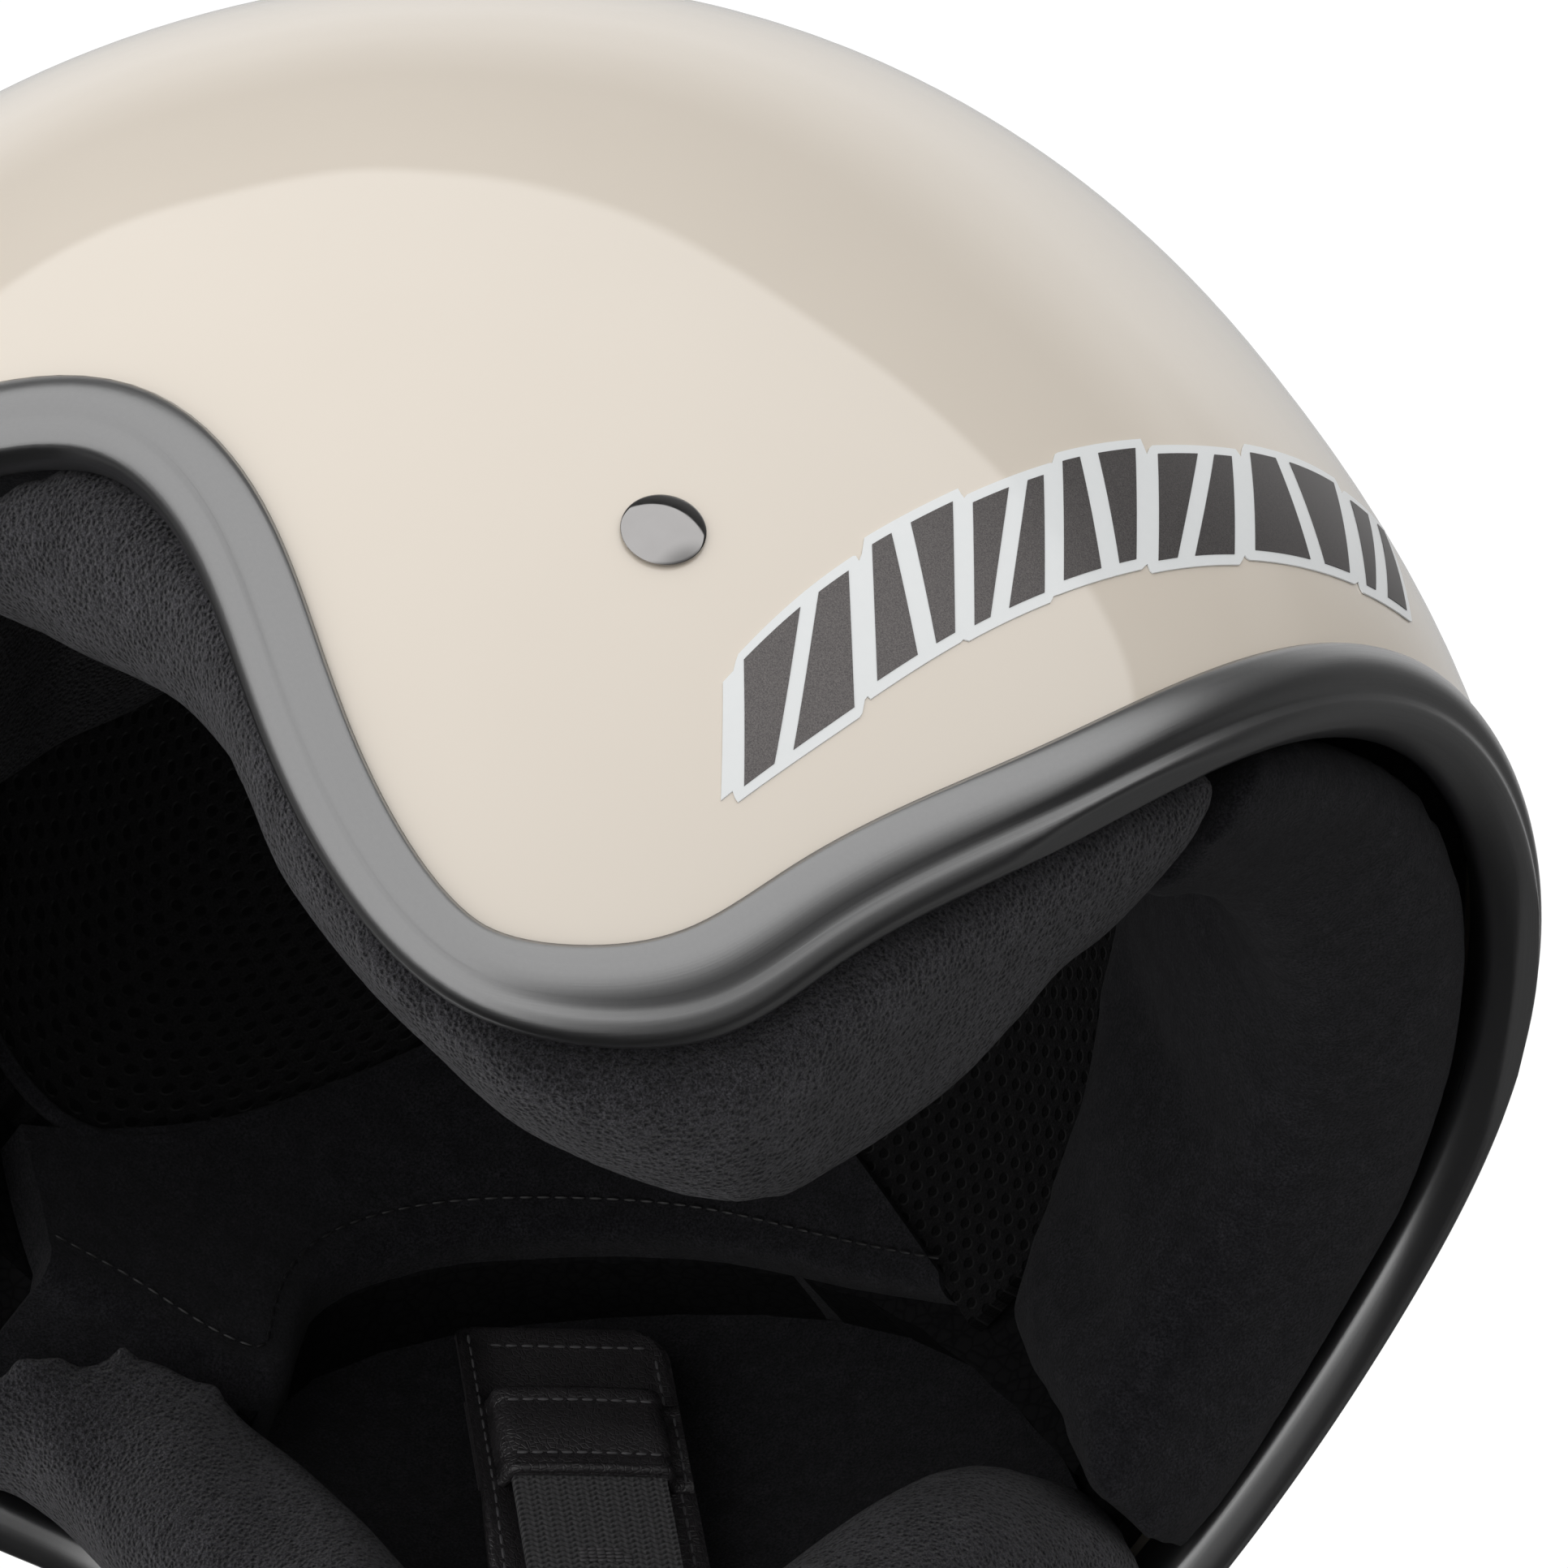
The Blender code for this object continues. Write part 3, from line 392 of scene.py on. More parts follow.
def rubber():
    """Extruded rubber with fine lines along it and a little dust."""
    tree = Tree("trim_rubber", (0.012, 0.012, 0.013), 0.34, Specular_IOR_Level=1.0, Coat_Weight=1.0,
                Coat_Roughness=0.25, Coat_IOR=2.55)
    lines = tree.noise(1.0, 5, tree.scaled(tree.flow(), (0.035, 5.0, 1.0)), 0.7)
    bands = tree.noise(1.0, 3, tree.scaled(tree.flow(), (0.012, 1.3, 1.0)))
    dust = tree.noise(1400, 2)
    tree.rough(tree.total(tree.between(lines, 0.3, 0.75, 0.28, 0.44),
                          tree.between(bands, 0.3, 0.7, -0.03, 0.05)))
    tree.tint(tree.between(tree.times(lines, dust), 0.12, 0.5),
              (0.0095, 0.0095, 0.0105), (0.019, 0.0185, 0.0195))
    tree.bump(tree.total(lines, tree.times(dust, 0.35)), 0.03, 0.45, ("Normal", "Coat Normal"))
    return tree.material


def terry(name="terry_loops", shade=1.0):
    """Short loop pile: painted shade in the round pinholes and painted highlights on the loops and fibres,
    over a soft unevenness.
    """
    tree = Tree(name, (0.024, 0.024, 0.027), 0.92, shade=shade, Sheen_Weight=0.15 * shade,
                Sheen_Roughness=0.45, Specular_IOR_Level=0.1)
    warp = tree.add("TexNoise", Scale=520.0, Detail=2.0, Vector=tree.place()).outputs["Color"]
    bent = tree.add("VectorMath", operation="SCALE", i0=warp, Scale=0.0003).outputs[0]
    moved = tree.add("VectorMath", operation="ADD", i0=tree.place(), i1=bent).outputs[0]
    fibres = tree.noise(3600, 4, moved, 0.75)
    patches = tree.noise(210, 3)
    pile = tree.between(tree.cells(1250, vector=moved), 0.05, 0.62)
    # Painted highlights on the loops and fibres; painted shade in the pinholes between them.
    light = tree.times(tree.between(fibres, 0.38, 0.68), tree.between(pile, 0.15, 0.8, 0.25, 1.0))
    tree.tint(tree.times(light, tree.between(patches, 0.3, 0.7, 0.7, 1.15)),
              (0.003, 0.003, 0.004), (0.105, 0.102, 0.114))
    tree.bump(tree.total(tree.total(pile, tree.times(fibres, 0.55)), tree.times(patches, 0.35)), 0.7)
    return tree.material


def brushed():
    """Short brushed nap with a faint lie."""
    tree = Tree("brushed_nap", (0.014, 0.014, 0.016), 0.95, Sheen_Weight=0.06, Sheen_Roughness=0.5,
                Specular_IOR_Level=0.06)
    nap = tree.noise(2600, 5, roughness=0.75)
    lie = tree.noise(300, 3)
    specks = tree.times(tree.between(nap, 0.4, 0.72), tree.between(lie, 0.3, 0.7, 0.5, 1.2))
    tree.tint(tree.times(specks, tree.spread(38, 2, 0.85, 1.1)), (0.006, 0.006, 0.007), (0.038, 0.037, 0.043))
    tree.bump(tree.total(nap, tree.times(lie, 1.2)), 0.4, 0.9)
    return tree.material


def spacer_mesh():
    """Knitted spacer mesh: a triangular lattice of small round holes."""
    tree = Tree("spacer_mesh", (0.007, 0.007, 0.008), 0.75, Sheen_Weight=0.05, Specular_IOR_Level=0.1)
    flow = tree.flow()
    lattice = 0.0
    for turn in np.radians((0, 60, 120)):
        wave = (math.cos(turn) * 2.6, math.sin(turn) * 2.6, 0)
        share = tree.add("VectorMath", operation="DOT_PRODUCT", i0=flow, i1=wave).outputs["Value"]
        lattice = tree.total(lattice, tree.math("COSINE", share, 0.0))
    holes = tree.between(lattice, 0.2, 1.4)
    yarn = tree.noise(3000, 3)
    tree.tint(tree.math("SUBTRACT", tree.between(yarn, 0.3, 0.8), holes),
              (0.0008, 0.0008, 0.0010), (0.015, 0.0145, 0.0155))
    tree.bump(tree.math("SUBTRACT", tree.times(yarn, 0.3), holes), 0.7)
    return tree.material


def leather():
    tree = Tree("black_leather", (0.014, 0.0135, 0.014), 0.42, Specular_IOR_Level=0.6)
    grain = tree.cells(1150, "DISTANCE_TO_EDGE")
    pores = tree.noise(2300, 4)
    tree.rough(tree.spread(140, 3, 0.34, 0.52))
    tree.tint(tree.between(pores, 0.3, 0.75), (0.020, 0.0185, 0.020), (0.048, 0.044, 0.047))
    tree.bump(tree.total(tree.between(grain, 0.0, 0.16), tree.times(pores, 0.3)), 0.12, 0.7)
    return tree.material


def webbing(name="black_webbing", dark=(0.010, 0.010, 0.011), light=(0.095, 0.093, 0.098)):
    """Ribbed weave: weft ribs across the band, broken into a small herringbone."""
    tree = Tree(name, light, 0.62, Sheen_Weight=0.2, Specular_IOR_Level=0.4)
    along, across, _ = tree.add("SeparateXYZ", Vector=tree.flow()).outputs
    zigzag = tree.times(tree.math("PINGPONG", across, 1.1), 0.55)
    ribs = tree.math("SINE", tree.times(tree.total(along, zigzag), 6.3), 0.0)
    warp = tree.math("SINE", tree.times(across, 7.2), 0.0)
    weave = tree.total(tree.times(ribs, 0.6), tree.times(warp, 0.4))
    yarn = tree.noise(3500, 3)
    worn = tree.between(yarn, 0.3, 0.7, 0.55, 1.1)
    tree.tint(tree.times(tree.between(weave, -0.8, 0.9), worn), dark, light)
    tree.bump(tree.total(weave, tree.times(yarn, 0.5)), 0.22)
    return tree.material


def thread(name="strap_thread", shade=1.0):
    tree = Tree(name, (0.04, 0.04, 0.042), 0.5, shade=shade, Sheen_Weight=0.15 * shade)
    tree.bump(tree.noise(3200, 2), 0.08, 0.8)
    tree.tint(tree.noise(900, 2), (0.05, 0.048, 0.052), (0.12, 0.116, 0.122))
    return tree.material


def chrome():
    tree = Tree("polished_chrome", (0.39, 0.38, 0.375), 0.06, 1.0)
    tree.rough(tree.spread(700, 4, 0.05, 0.10))
    tree.bump(tree.noise(350, 2), 0.01, 0.3)
    tree.tint(tree.noise(260, 2), (0.37, 0.36, 0.355), (0.41, 0.40, 0.395))
    return tree.material


def steel():
    tree = Tree("plated_steel", (0.42, 0.42, 0.43), 0.3, 1.0)
    lines = tree.noise(1.0, 4, tree.scaled(tree.place(), (900, 90, 90)))
    tree.rough(tree.between(lines, 0.3, 0.7, 0.2, 0.38))
    tree.tint(lines, (0.36, 0.36, 0.37), (0.5, 0.5, 0.51))
    tree.bump(lines, 0.02, 0.5)
    return tree.material


def vinyl():
    tree = Tree("white_vinyl", (0.83, 0.85, 0.85), 0.3, Coat_Weight=0.6, Coat_Roughness=0.08)
    tree.tint(tree.noise(500, 2), (0.815, 0.835, 0.838), (0.845, 0.862, 0.862))
    tree.bump(tree.noise(300, 2), 0.01, 0.4)
    return tree.material


def flake_ink():
    """Charcoal ink with fine metal flake."""
    tree = Tree("charcoal_flake", (0.11, 0.10, 0.10), 0.38, 0.75)
    flake = tree.noise(5200, 3, roughness=0.8)
    tree.tint(tree.between(flake, 0.35, 0.7), (0.07, 0.065, 0.066), (0.20, 0.185, 0.18))
    tree.rough(tree.between(flake, 0.3, 0.7, 0.3, 0.5))
    tree.bump(flake, 0.02, 0.5)
    return tree.material


def bead_foam():
    tree = Tree("bead_foam", (0.006, 0.006, 0.0065), 0.9, Specular_IOR_Level=0.1)
    beads = tree.cells(450, "DISTANCE_TO_EDGE")
    tree.tint(tree.between(beads, 0.0, 0.12), (0.003, 0.003, 0.0035), (0.007, 0.007, 0.0075))
    tree.bump(tree.between(beads, 0.0, 0.2), 0.12, 0.5)
    return tree.material


LOOKS = {
    "paint": paint(), "trim": rubber(), "terry": terry(), "brushed": brushed(), "mesh": spacer_mesh(),
    "leather": leather(), "webbing": webbing(), "chrome": chrome(), "steel": steel(), "decal": vinyl(),
    "foam": bead_foam(), "ink": flake_ink(), "thread": thread(),
    # Darker copy of the terry: painted shade for the brow and crown cushions deep inside the helmet.
    "painted_shade_terry": terry("terry_in_shade", 0.5),
    # Darker copy of the strap thread: painted shade for the lining seams inside the helmet.
    "seam": thread("lining_thread_painted_shade", 0.1),
    "pull_tab": webbing("red_webbing", (0.10, 0.006, 0.006), (0.36, 0.02, 0.02)),
}

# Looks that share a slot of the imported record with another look.
SLOTS = {"painted_shade_terry": "terry", "ink": "decal", "thread": "webbing", "seam": "webbing"}


# ---- Meshes ---------------------------------------------------------------------------------

# Every finished piece with its body, the CAD nodes that it stands for and its slot.
made = []


def piece(name, points, faces, look, body="helmet", nodes=(), flow=None):
    """A finished piece from head frame points. It rides on a body and stands for CAD nodes."""
    mesh = bpy.data.meshes.new(name)
    points = np.asarray(points, float) @ HEAD_TURN.T + HEAD_PLACE
    mesh.from_pydata(points.tolist(), [], [tuple(map(int, face)) for face in faces])
    mesh.update()
    if flow is not None:
        stored = mesh.attributes.new("flow", "FLOAT_VECTOR", "POINT")
        stored.data.foreach_set("vector", np.asarray(flow, np.float32).ravel())
    face_out(mesh)
    mesh.shade_smooth()
    mesh.set_sharp_from_angle(angle=math.radians(50))
    mesh.materials.append(LOOKS[look])
    thing = bpy.data.objects.new(name, mesh)
    bpy.context.scene.collection.objects.link(thing)
    made.append((thing, body, nodes, SLOTS.get(look, look)))
    return thing


def face_out(mesh):
    work = bmesh.new()
    work.from_mesh(mesh)
    bmesh.ops.recalc_face_normals(work, faces=work.faces)
    if work.calc_volume(signed=True) < 0:
        bmesh.ops.reverse_faces(work, faces=work.faces)
    work.to_mesh(mesh)
    work.free()


def grid_faces(rows, columns, closed, start=0):
    """Quads of a grid whose points run row by row; a closed grid joins its last column to its first."""
    spans = columns if closed else columns - 1
    return [
        (start + r * columns + c, start + r * columns + (c + 1) % columns,
         start + (r + 1) * columns + (c + 1) % columns, start + (r + 1) * columns + c)
        for r in range(rows - 1) for c in range(spans)
    ]


def sheet_faces(rows, columns, closed=False):
    """Faces of a thin sheet: a grid, its copy behind it, and the rim between the two."""
    total = rows * columns
    low = total - columns
    faces = grid_faces(rows, columns, closed)
    faces += [face[::-1] for face in grid_faces(rows, columns, closed, total)]
    for c in range(columns if closed else columns - 1):
        d = (c + 1) % columns
        faces += [(d, c, total + c, total + d), (low + c, low + d, total + low + d, total + low + c)]
    if not closed:
        for a in range(0, low, columns):
            b, c = a + columns, a + columns - 1
            d = c + columns
            faces += [(a, b, total + b, total + a), (d, c, total + c, total + d)]
    return faces


def loft_faces(count, size, closed=False):
    """Faces through rings of equal length, with a cap at each open end."""
    faces = grid_faces(count, size, True)
    last = (count - 1) * size
    if closed:
        return faces + [(last + j, last + (j + 1) % size, (j + 1) % size, j) for j in range(size)]
    return faces + [tuple(range(size)), tuple(range(last, last + size))]


def mean_travel(grid, axis):
    """Distances in mm along one axis of a grid of points, averaged over the other."""
    steps = np.linalg.norm(np.diff(grid, axis=axis), axis=2).mean(axis=1 - axis)
    return np.concatenate(([0.0], np.cumsum(steps))) / MM


def ring_flow(rings):
    """Distances in mm along and across a loft, for its material."""
    step = np.linalg.norm(rings - np.roll(rings, 1, axis=1), axis=2)
    step[:, 0] = 0
    flow = np.zeros(rings.shape)
    flow[..., 0] = mean_travel(rings, 0)[:, None]
    flow[..., 1] = np.cumsum(step, axis=1) / MM
    return flow


def loft(name, rings, look, body="helmet", nodes=(), closed=False):
    """A closed tube-like form through rings of head frame points."""
    rings = np.asarray(rings, float)
    faces = loft_faces(len(rings), len(rings[0]), closed)
    return piece(name, rings.reshape(-1, 3), faces, look, body, nodes, ring_flow(rings))


def sheet(name, face, back, look, nodes, side=1, closed=False):
    """A thin sheet on the helmet from a grid of face points and one of back points."""
    face, back = (np.asarray(grid, float) * (side, 1, 1) for grid in (face, back))
    flow = np.zeros(face.shape)
    flow[..., 0] = mean_travel(face, 0)[:, None]
    flow[..., 1] = mean_travel(face, 1)
    points = np.concatenate([face.reshape(-1, 3), back.reshape(-1, 3)])
    faces = sheet_faces(*face.shape[:2], closed)
    return piece(name, points, faces, look, "helmet", nodes, np.stack([flow, flow]))


def tube(name, path, radius, look, body="helmet", nodes=(), closed=False, sides=12):
    """A round cord of steady radius along head frame points."""
    path = np.asarray(path, float)
    tangent = unit(np.roll(path, -1, 0) - np.roll(path, 1, 0) if closed else np.gradient(path, axis=0))
    side = np.cross(tangent[0], (0.3, 0.2, 0.93))
    turns = np.linspace(0, FULL_TURN, sides, endpoint=False)[:, None]
    rings = []
    for centre, ahead in zip(path, tangent):
        side = unit(side - ahead * side.dot(ahead))
        rings.append(centre + radius * (np.cos(turns) * side + np.sin(turns) * np.cross(ahead, side)))
    return loft(name, rings, look, body, nodes, closed)


def stitches(name, lines, body="helmet", nodes=(), look="thread", pitch=2.6, length=1.9, radius=0.28):
    """Rows of single stitches: small round-ended bars laid along head frame lines."""
    points, faces = [], []
    rings = ((0.0, 0.25), (0.12, 0.8), (0.5, 1.0), (0.88, 0.8), (1.0, 0.25))
    sides = 6
    for line in lines:
        line = np.asarray(line, float)
        steps = travel(line)
        for start in np.arange(0.3 * MM, steps[-1] - length * MM, pitch * MM):
            a, b = (np.array([np.interp(at, steps, line[:, k]) for k in range(3)])
                    for at in (start, start + length * MM))
            ahead = unit(b - a)
            side = unit(np.cross(ahead, (0.31, 0.2, 0.93)))
            up = np.cross(ahead, side)
            faces += [tuple(len(points) + i for i in face) for face in loft_faces(len(rings), sides)]
            for share, wide in rings:
                for turn in np.linspace(0, FULL_TURN, sides, endpoint=False):
                    way = math.cos(turn) * side + math.sin(turn) * up
                    points.append(a + (b - a) * share + radius * MM * wide * way)
    return piece(name, points, faces, look, body, nodes)


# ---- Shell and trim -------------------------------------------------------------------------

def smooth_rows(values, passes):
    """Averages a grid of vectors with its neighbours, round and up, and makes them one long."""
    for _ in range(passes):
        round_mean = (np.roll(values, 1, 1) + np.roll(values, -1, 1)) / 2
        up_mean = values.copy()
        up_mean[1:-1] = (values[:-2] + values[2:]) / 2
        values = unit(values * 0.4 + round_mean * 0.3 + up_mean * 0.3)
    return values


def make_shell():
    """The lacquered shell, inside and out, with evened normals for a clean gloss."""
    half, rows = 131, 76
    feet = [whole_loop(edge(lift * MM, half)) for lift in (3.8, 5.5, 7.5, 10)]
    columns = len(feet[0])
    points = []
    for depth in (0.0, SHELL_THICKNESS):
        grid = [point(foot, depth) for foot in feet[:-1]]
        grid += [radial(row, depth) for row in towards_pole(feet[-1], depth, rows)]
        points += [np.reshape(grid, (-1, 3)), radial(POLE[None], depth)]
    count = len(grid)
    total = count * columns
    outer = points[0].reshape(count, columns, 3)
    normals = np.cross(np.roll(outer, -1, 1) - np.roll(outer, 1, 1), np.gradient(outer, axis=0))
    normals = smooth_rows(unit(normals), 30)
    faces = grid_faces(count, columns, True)
    last = total - columns
    faces += [(last + c, last + (c + 1) % columns, total) for c in range(columns)]
    faces += [tuple(i + total + 1 for i in face[::-1]) for face in list(faces)]
    faces += [(c, (c + 1) % columns, total + 1 + (c + 1) % columns, total + 1 + c) for c in range(columns)]
    shell = piece("shell_lacquered", np.concatenate(points), faces, "paint", "helmet", ["outer_shell"])
    outside = np.concatenate([normals.reshape(-1, 3), [normals[-1].mean(axis=0)]])
    vectors = unit(np.concatenate([outside, -outside]) @ HEAD_TURN.T)
    shell.data.normals_split_custom_set_from_vertices(vectors.tolist())


# Section of the edge trim, as (distance out from the shell, distance up from the edge) in mm.
TRIM_OUTLINE = (
    (0.35, 10.8), (0.75, 11.15), (1.35, 10.95), (2.0, 10.1), (2.55, 8.7), (2.75, 7.3), (2.65, 6.0),
    (2.3, 4.95), (1.85, 4.2), (1.75, 3.65), (1.85, 3.0), (1.7, 2.1), (1.2, 1.1), (0.6, 0.4),
    (-0.8, 0.05), (-2.2, 0.0), (-3.8, 0.2), (-5.5, 0.9), (-6.45, 2.3), (-6.7, 4.5), (-6.75, 7.0),
    (-6.7, 9.0), (-6.2, 9.75), (-5.4, 9.7), (-4.95, 9.2), (-4.9, 6.5), (-4.85, 3.6), (-4.3, 3.25),
    (-2.0, 3.25), (0.0, 3.3), (0.42, 3.8), (0.42, 6.5), (0.36, 9.0),
)


def above_floor(points, clearance=0.0):
    """Presses head frame points flat where they would pass under the floor."""
    down = np.array([0, math.sin(LEAN), -math.cos(LEAN)])
    excess = np.maximum(points @ down - (HEAD_PLACE[2] - clearance), 0)
    return points - excess[..., None] * down


def make_trim():
    """The rubber trim, pressed flat where the helmet stands on it."""
    low, high = (whole_loop(edge(lift, 201)) for lift in (0, 10 * MM))
    normal = outward(low[:, 0] / GIRTH_RADIUS, low[:, 1])
    outline = closed_spline(TRIM_OUTLINE, 64)
    share = outline[:, 1:] / 10
    rings = [point(a * (1 - share) + b * share, 0.0) + n * outline[:, :1] * MM
             for a, b, n in zip(low, high, normal)]
    trim = loft("edge_rubber", above_floor(np.array(rings)), "trim", "helmet", ["edge_trim"], closed=True)
    trim.data.set_sharp_from_angle(angle=math.radians(180))


# ---- Padding --------------------------------------------------------------------------------

def depth_of(points):
    """How far head frame points lie below the shell's outer face, towards the centre."""
    straight = np.array(points, float)
    straight[:, 1] -= RAKE * straight[:, 2]
    reach = np.linalg.norm(straight, axis=1)
    return np.linalg.norm(radial(straight / reach[:, None]), axis=1) - reach


def fullness(from_end, least):
    """From least at a pad's end to 1 inside it, along a quarter circle."""
    return math.sqrt(max(0.0, 1 - (1 - min(1, from_end)) ** 2)) * (1 - least) + least


def pad_rings(foot, head, back, faces, overhang, rounding=(16, 16)):
    """Sections of a pad from the trim's inner lip to its upper curve, rounded at both ends (in mm)."""
    on_shell = point(foot, 0.0)
    squeeze = ((on_shell - point(foot, 10 * MM)) * outward(foot[:, 0] / GIRTH_RADIUS, foot[:, 1])).sum(axis=1)
    done = travel(on_shell)
    rings = []
    for i, low in enumerate(foot):
        beside_trim = TRIM_CLEARANCE * 10 * MM / squeeze[i] + PAD_INSET
        rise = head[i] - low
        height = np.linalg.norm(rise)
        up = rise / height
        height -= PAD_INSET
        full = fullness(min(done[i] / rounding[0], (done[-1] - done[i]) / rounding[1]) / MM, 0.38)
        front = back + (faces[i] - PAD_INSET - back) * full
        bulge = overhang[i] * (0.35 + 0.65 * full)
        section = (
            (beside_trim, 4.6 * MM + PAD_INSET), (back + PAD_INSET, min(11.5 * MM, height * 0.6)),
            (back + PAD_INSET, height - 2 * MM), (back + (front - back) * 0.3, height),
            (back + (front - back) * 0.7, height * 0.97), (front - 1 * MM, height * 0.80),
            (front, height * 0.5), (front - 0.6 * MM, height * 0.24),
            (front - 3.5 * MM, height * 0.06 - bulge * 0.3),
            ((front * 1.3 + 16 * MM) / 2.3, -bulge * 0.92), ((front + 20 * MM) / 2.4, -bulge),
            (8.8 * MM + PAD_INSET, 1.0 * MM - bulge * 0.5),
        )
        smooth = closed_spline(section, PAD_SECTION_POINTS)
        rings.append(point(low + up * smooth[:, 1:], smooth[:, 0]))
    return above_floor(np.array(rings), 0.3 * MM)


# Seed of the noise field that folds the pads. Without one the field follows the clock.
FOLD_SEED = 7


def crumple(points, size_mm, amount_mm, seed):
    """Soft folds: moves row frame points along a smooth noise field."""
    noise.seed_set(FOLD_SEED)
    moved = points.copy()
    for i, place in enumerate(points):
        at = Vector(place) / (size_mm * MM)
        fold = noise.noise_vector(at + Vector((seed, 0, 0)))
        fine = noise.noise_vector(at * 2.3 + Vector((0, seed, 0)))
        moved[i] += np.array(fold + fine * 0.45) * amount_mm * MM
    return moved


def vertices_of(mesh):
    points = np.empty(len(mesh.vertices) * 3, np.float32)
    mesh.vertices.foreach_get("co", points)
    return points.reshape(-1, 3).astype(float)


def set_vertices(mesh, points, lowest):
    """Puts row frame points back into a mesh, none of them lower than lowest."""
    points[:, 2] = np.maximum(points[:, 2], lowest)
    mesh.vertices.foreach_set("co", points.astype(np.float32).ravel())
    mesh.update()


def applied(thing):
    """Puts what the modifiers give into the object's own mesh."""
    graph = bpy.context.evaluated_depsgraph_get()
    mesh = bpy.data.meshes.new_from_object(thing.evaluated_get(graph))
    for modifier in list(thing.modifiers):
        thing.modifiers.remove(modifier)
    thing.data = mesh


CLOTH = {
    "quality": 4, "mass": 0.2, "tension_stiffness": 12, "compression_stiffness": 6, "bending_stiffness": 1.5,
    "shrink_min": -0.02, "use_pressure": True, "uniform_pressure_force": 4, "vertex_group_mass": "held",
    "pin_stiffness": 1.0,
}


def puff(jobs):
    """Inflates pads as cloth, with their backs held, and applies the result."""
    scene = bpy.context.scene
    rests = []
    for thing, _, back, _, _ in jobs:
        remesh = thing.modifiers.new("remesh", "REMESH")
        remesh.mode = "VOXEL"
        remesh.voxel_size = 4 * MM
        bpy.context.view_layer.update()
        applied(thing)
        rest = vertices_of(thing.data)
        rests.append(rest)
        depth = depth_of((rest - HEAD_PLACE) @ HEAD_TURN)
        held = thing.vertex_groups.new(name="held")
        for i in np.nonzero(depth < back + 2.5 * MM)[0]:
            held.add([int(i)], 1.0, "REPLACE")
        settings = thing.modifiers.new("puff", "CLOTH").settings
        for key, value in CLOTH.items():
            setattr(settings, key, value)
        settings.effector_weights.gravity = 0
    for number in range(1, 21):
        scene.frame_set(number)
    for (thing, cap, _, _, _), rest in zip(jobs, rests):
        applied(thing)
        shift = vertices_of(thing.data) - rest
        far = np.linalg.norm(shift, axis=1, keepdims=True)
        moved = rest + shift * np.minimum(1, cap * MM / np.maximum(far, 1e-9))
        set_vertices(thing.data, moved, 0.3 * MM)
    scene.frame_set(1)


def finish_pad(thing, fold):
    set_vertices(thing.data, crumple(vertices_of(thing.data), *fold), 0.2 * MM)
    thing.data.shade_smooth()
    even = thing.modifiers.new("even", "SMOOTH")
    even.factor = 0.5
    even.iterations = 5
    subdivision = thing.modifiers.new("soft", "SUBSURF")
    subdivision.levels = 1
    subdivision.render_levels = 1


# Cheek pads: side, name, first angle of the foot, overhangs in mm towards the front, and folds.
CHEEK_PADS = (
    (1, "left", 53.0, (15, 19, 21, 20, 14), (26, 0.3, 5.0)),
    (-1, "right", 50.0, (20, 25, 22, 16, 12), (16, 1.3, 11.0)),
)


def make_pads():
    """Foam pads in terry or brushed fabric, a little under size before they are puffed up.

    Each job is a pad, the most that it may swell in mm, its back's depth, its folds and its fill.
    """
    jobs = []

    def add(name, rings, look, node, *job):
        jobs.append((loft(name, rings, look, "helmet", [node]), *job))

    foot = mirrored_span(edge_between(0, 48.5, 26))
    head = mirrored_span(spline(flat(BROW_PAD_HEAD), 26))
    rings = pad_rings(foot, head, LINER_BACK, np.full(len(foot), 42 * MM), np.zeros(len(foot)))
    # The brow cushion wears the darker terry copy: painted shade.
    add("brow_cushion", rings, "painted_shade_terry", "brow_pad", 2.5, LINER_BACK, (22, 0.5, 3.0), 0.7)

    foot = round_nape(edge_between(132.5, 180, 26))
    head = round_nape(spline(flat(NECK_PAD_HEAD), 26))
    rings = pad_rings(foot, head, LINER_BACK, np.full(len(foot), 46 * MM), np.full(len(foot), 1.5 * MM))
    add("neck_cushion", rings, "brushed", "neck_pad", 3.5, LINER_BACK, (30, 0.8, 8.0), 0.75)

    count = 60
    along = np.linspace(0, 1, count)
    face = np.interp(along, (0, 0.3, 0.42, 0.52, 0.7, 0.85, 1), (42, 41, 41, 49, 59, 58, 48)) * MM
    head = spline(flat(CHEEK_PAD_HEAD), count)
    bulge_at = (0, 0.06, 0.16, 0.24, 0.30, 0.38, 0.5, 0.65, 1)
    for side, name, start, first_bulges, fold in CHEEK_PADS:
        foot = edge_between(start, 131.5, count)
        bulge = np.interp(along, bulge_at, (*first_bulges, 7.5, 5, 4, 1)) * MM
        rings = pad_rings(foot, head, CHEEK_PAD_BACK, face, bulge, rounding=(7, 20)) * (side, 1, 1)
        add("cheek_cushion_" + name, rings, "terry", "cheek_pad_" + name, 3.0, CHEEK_PAD_BACK, fold, 0.8)

    add("crown_cushion", crown_band(), "painted_shade_terry", "crown_pad", 2.5, CROWN_PAD_BACK, (24, 0.6, 14.0), 0.6)
    puff(jobs)
    for thing, _, _, fold, fill in jobs:
        finish_pad(thing, fold)


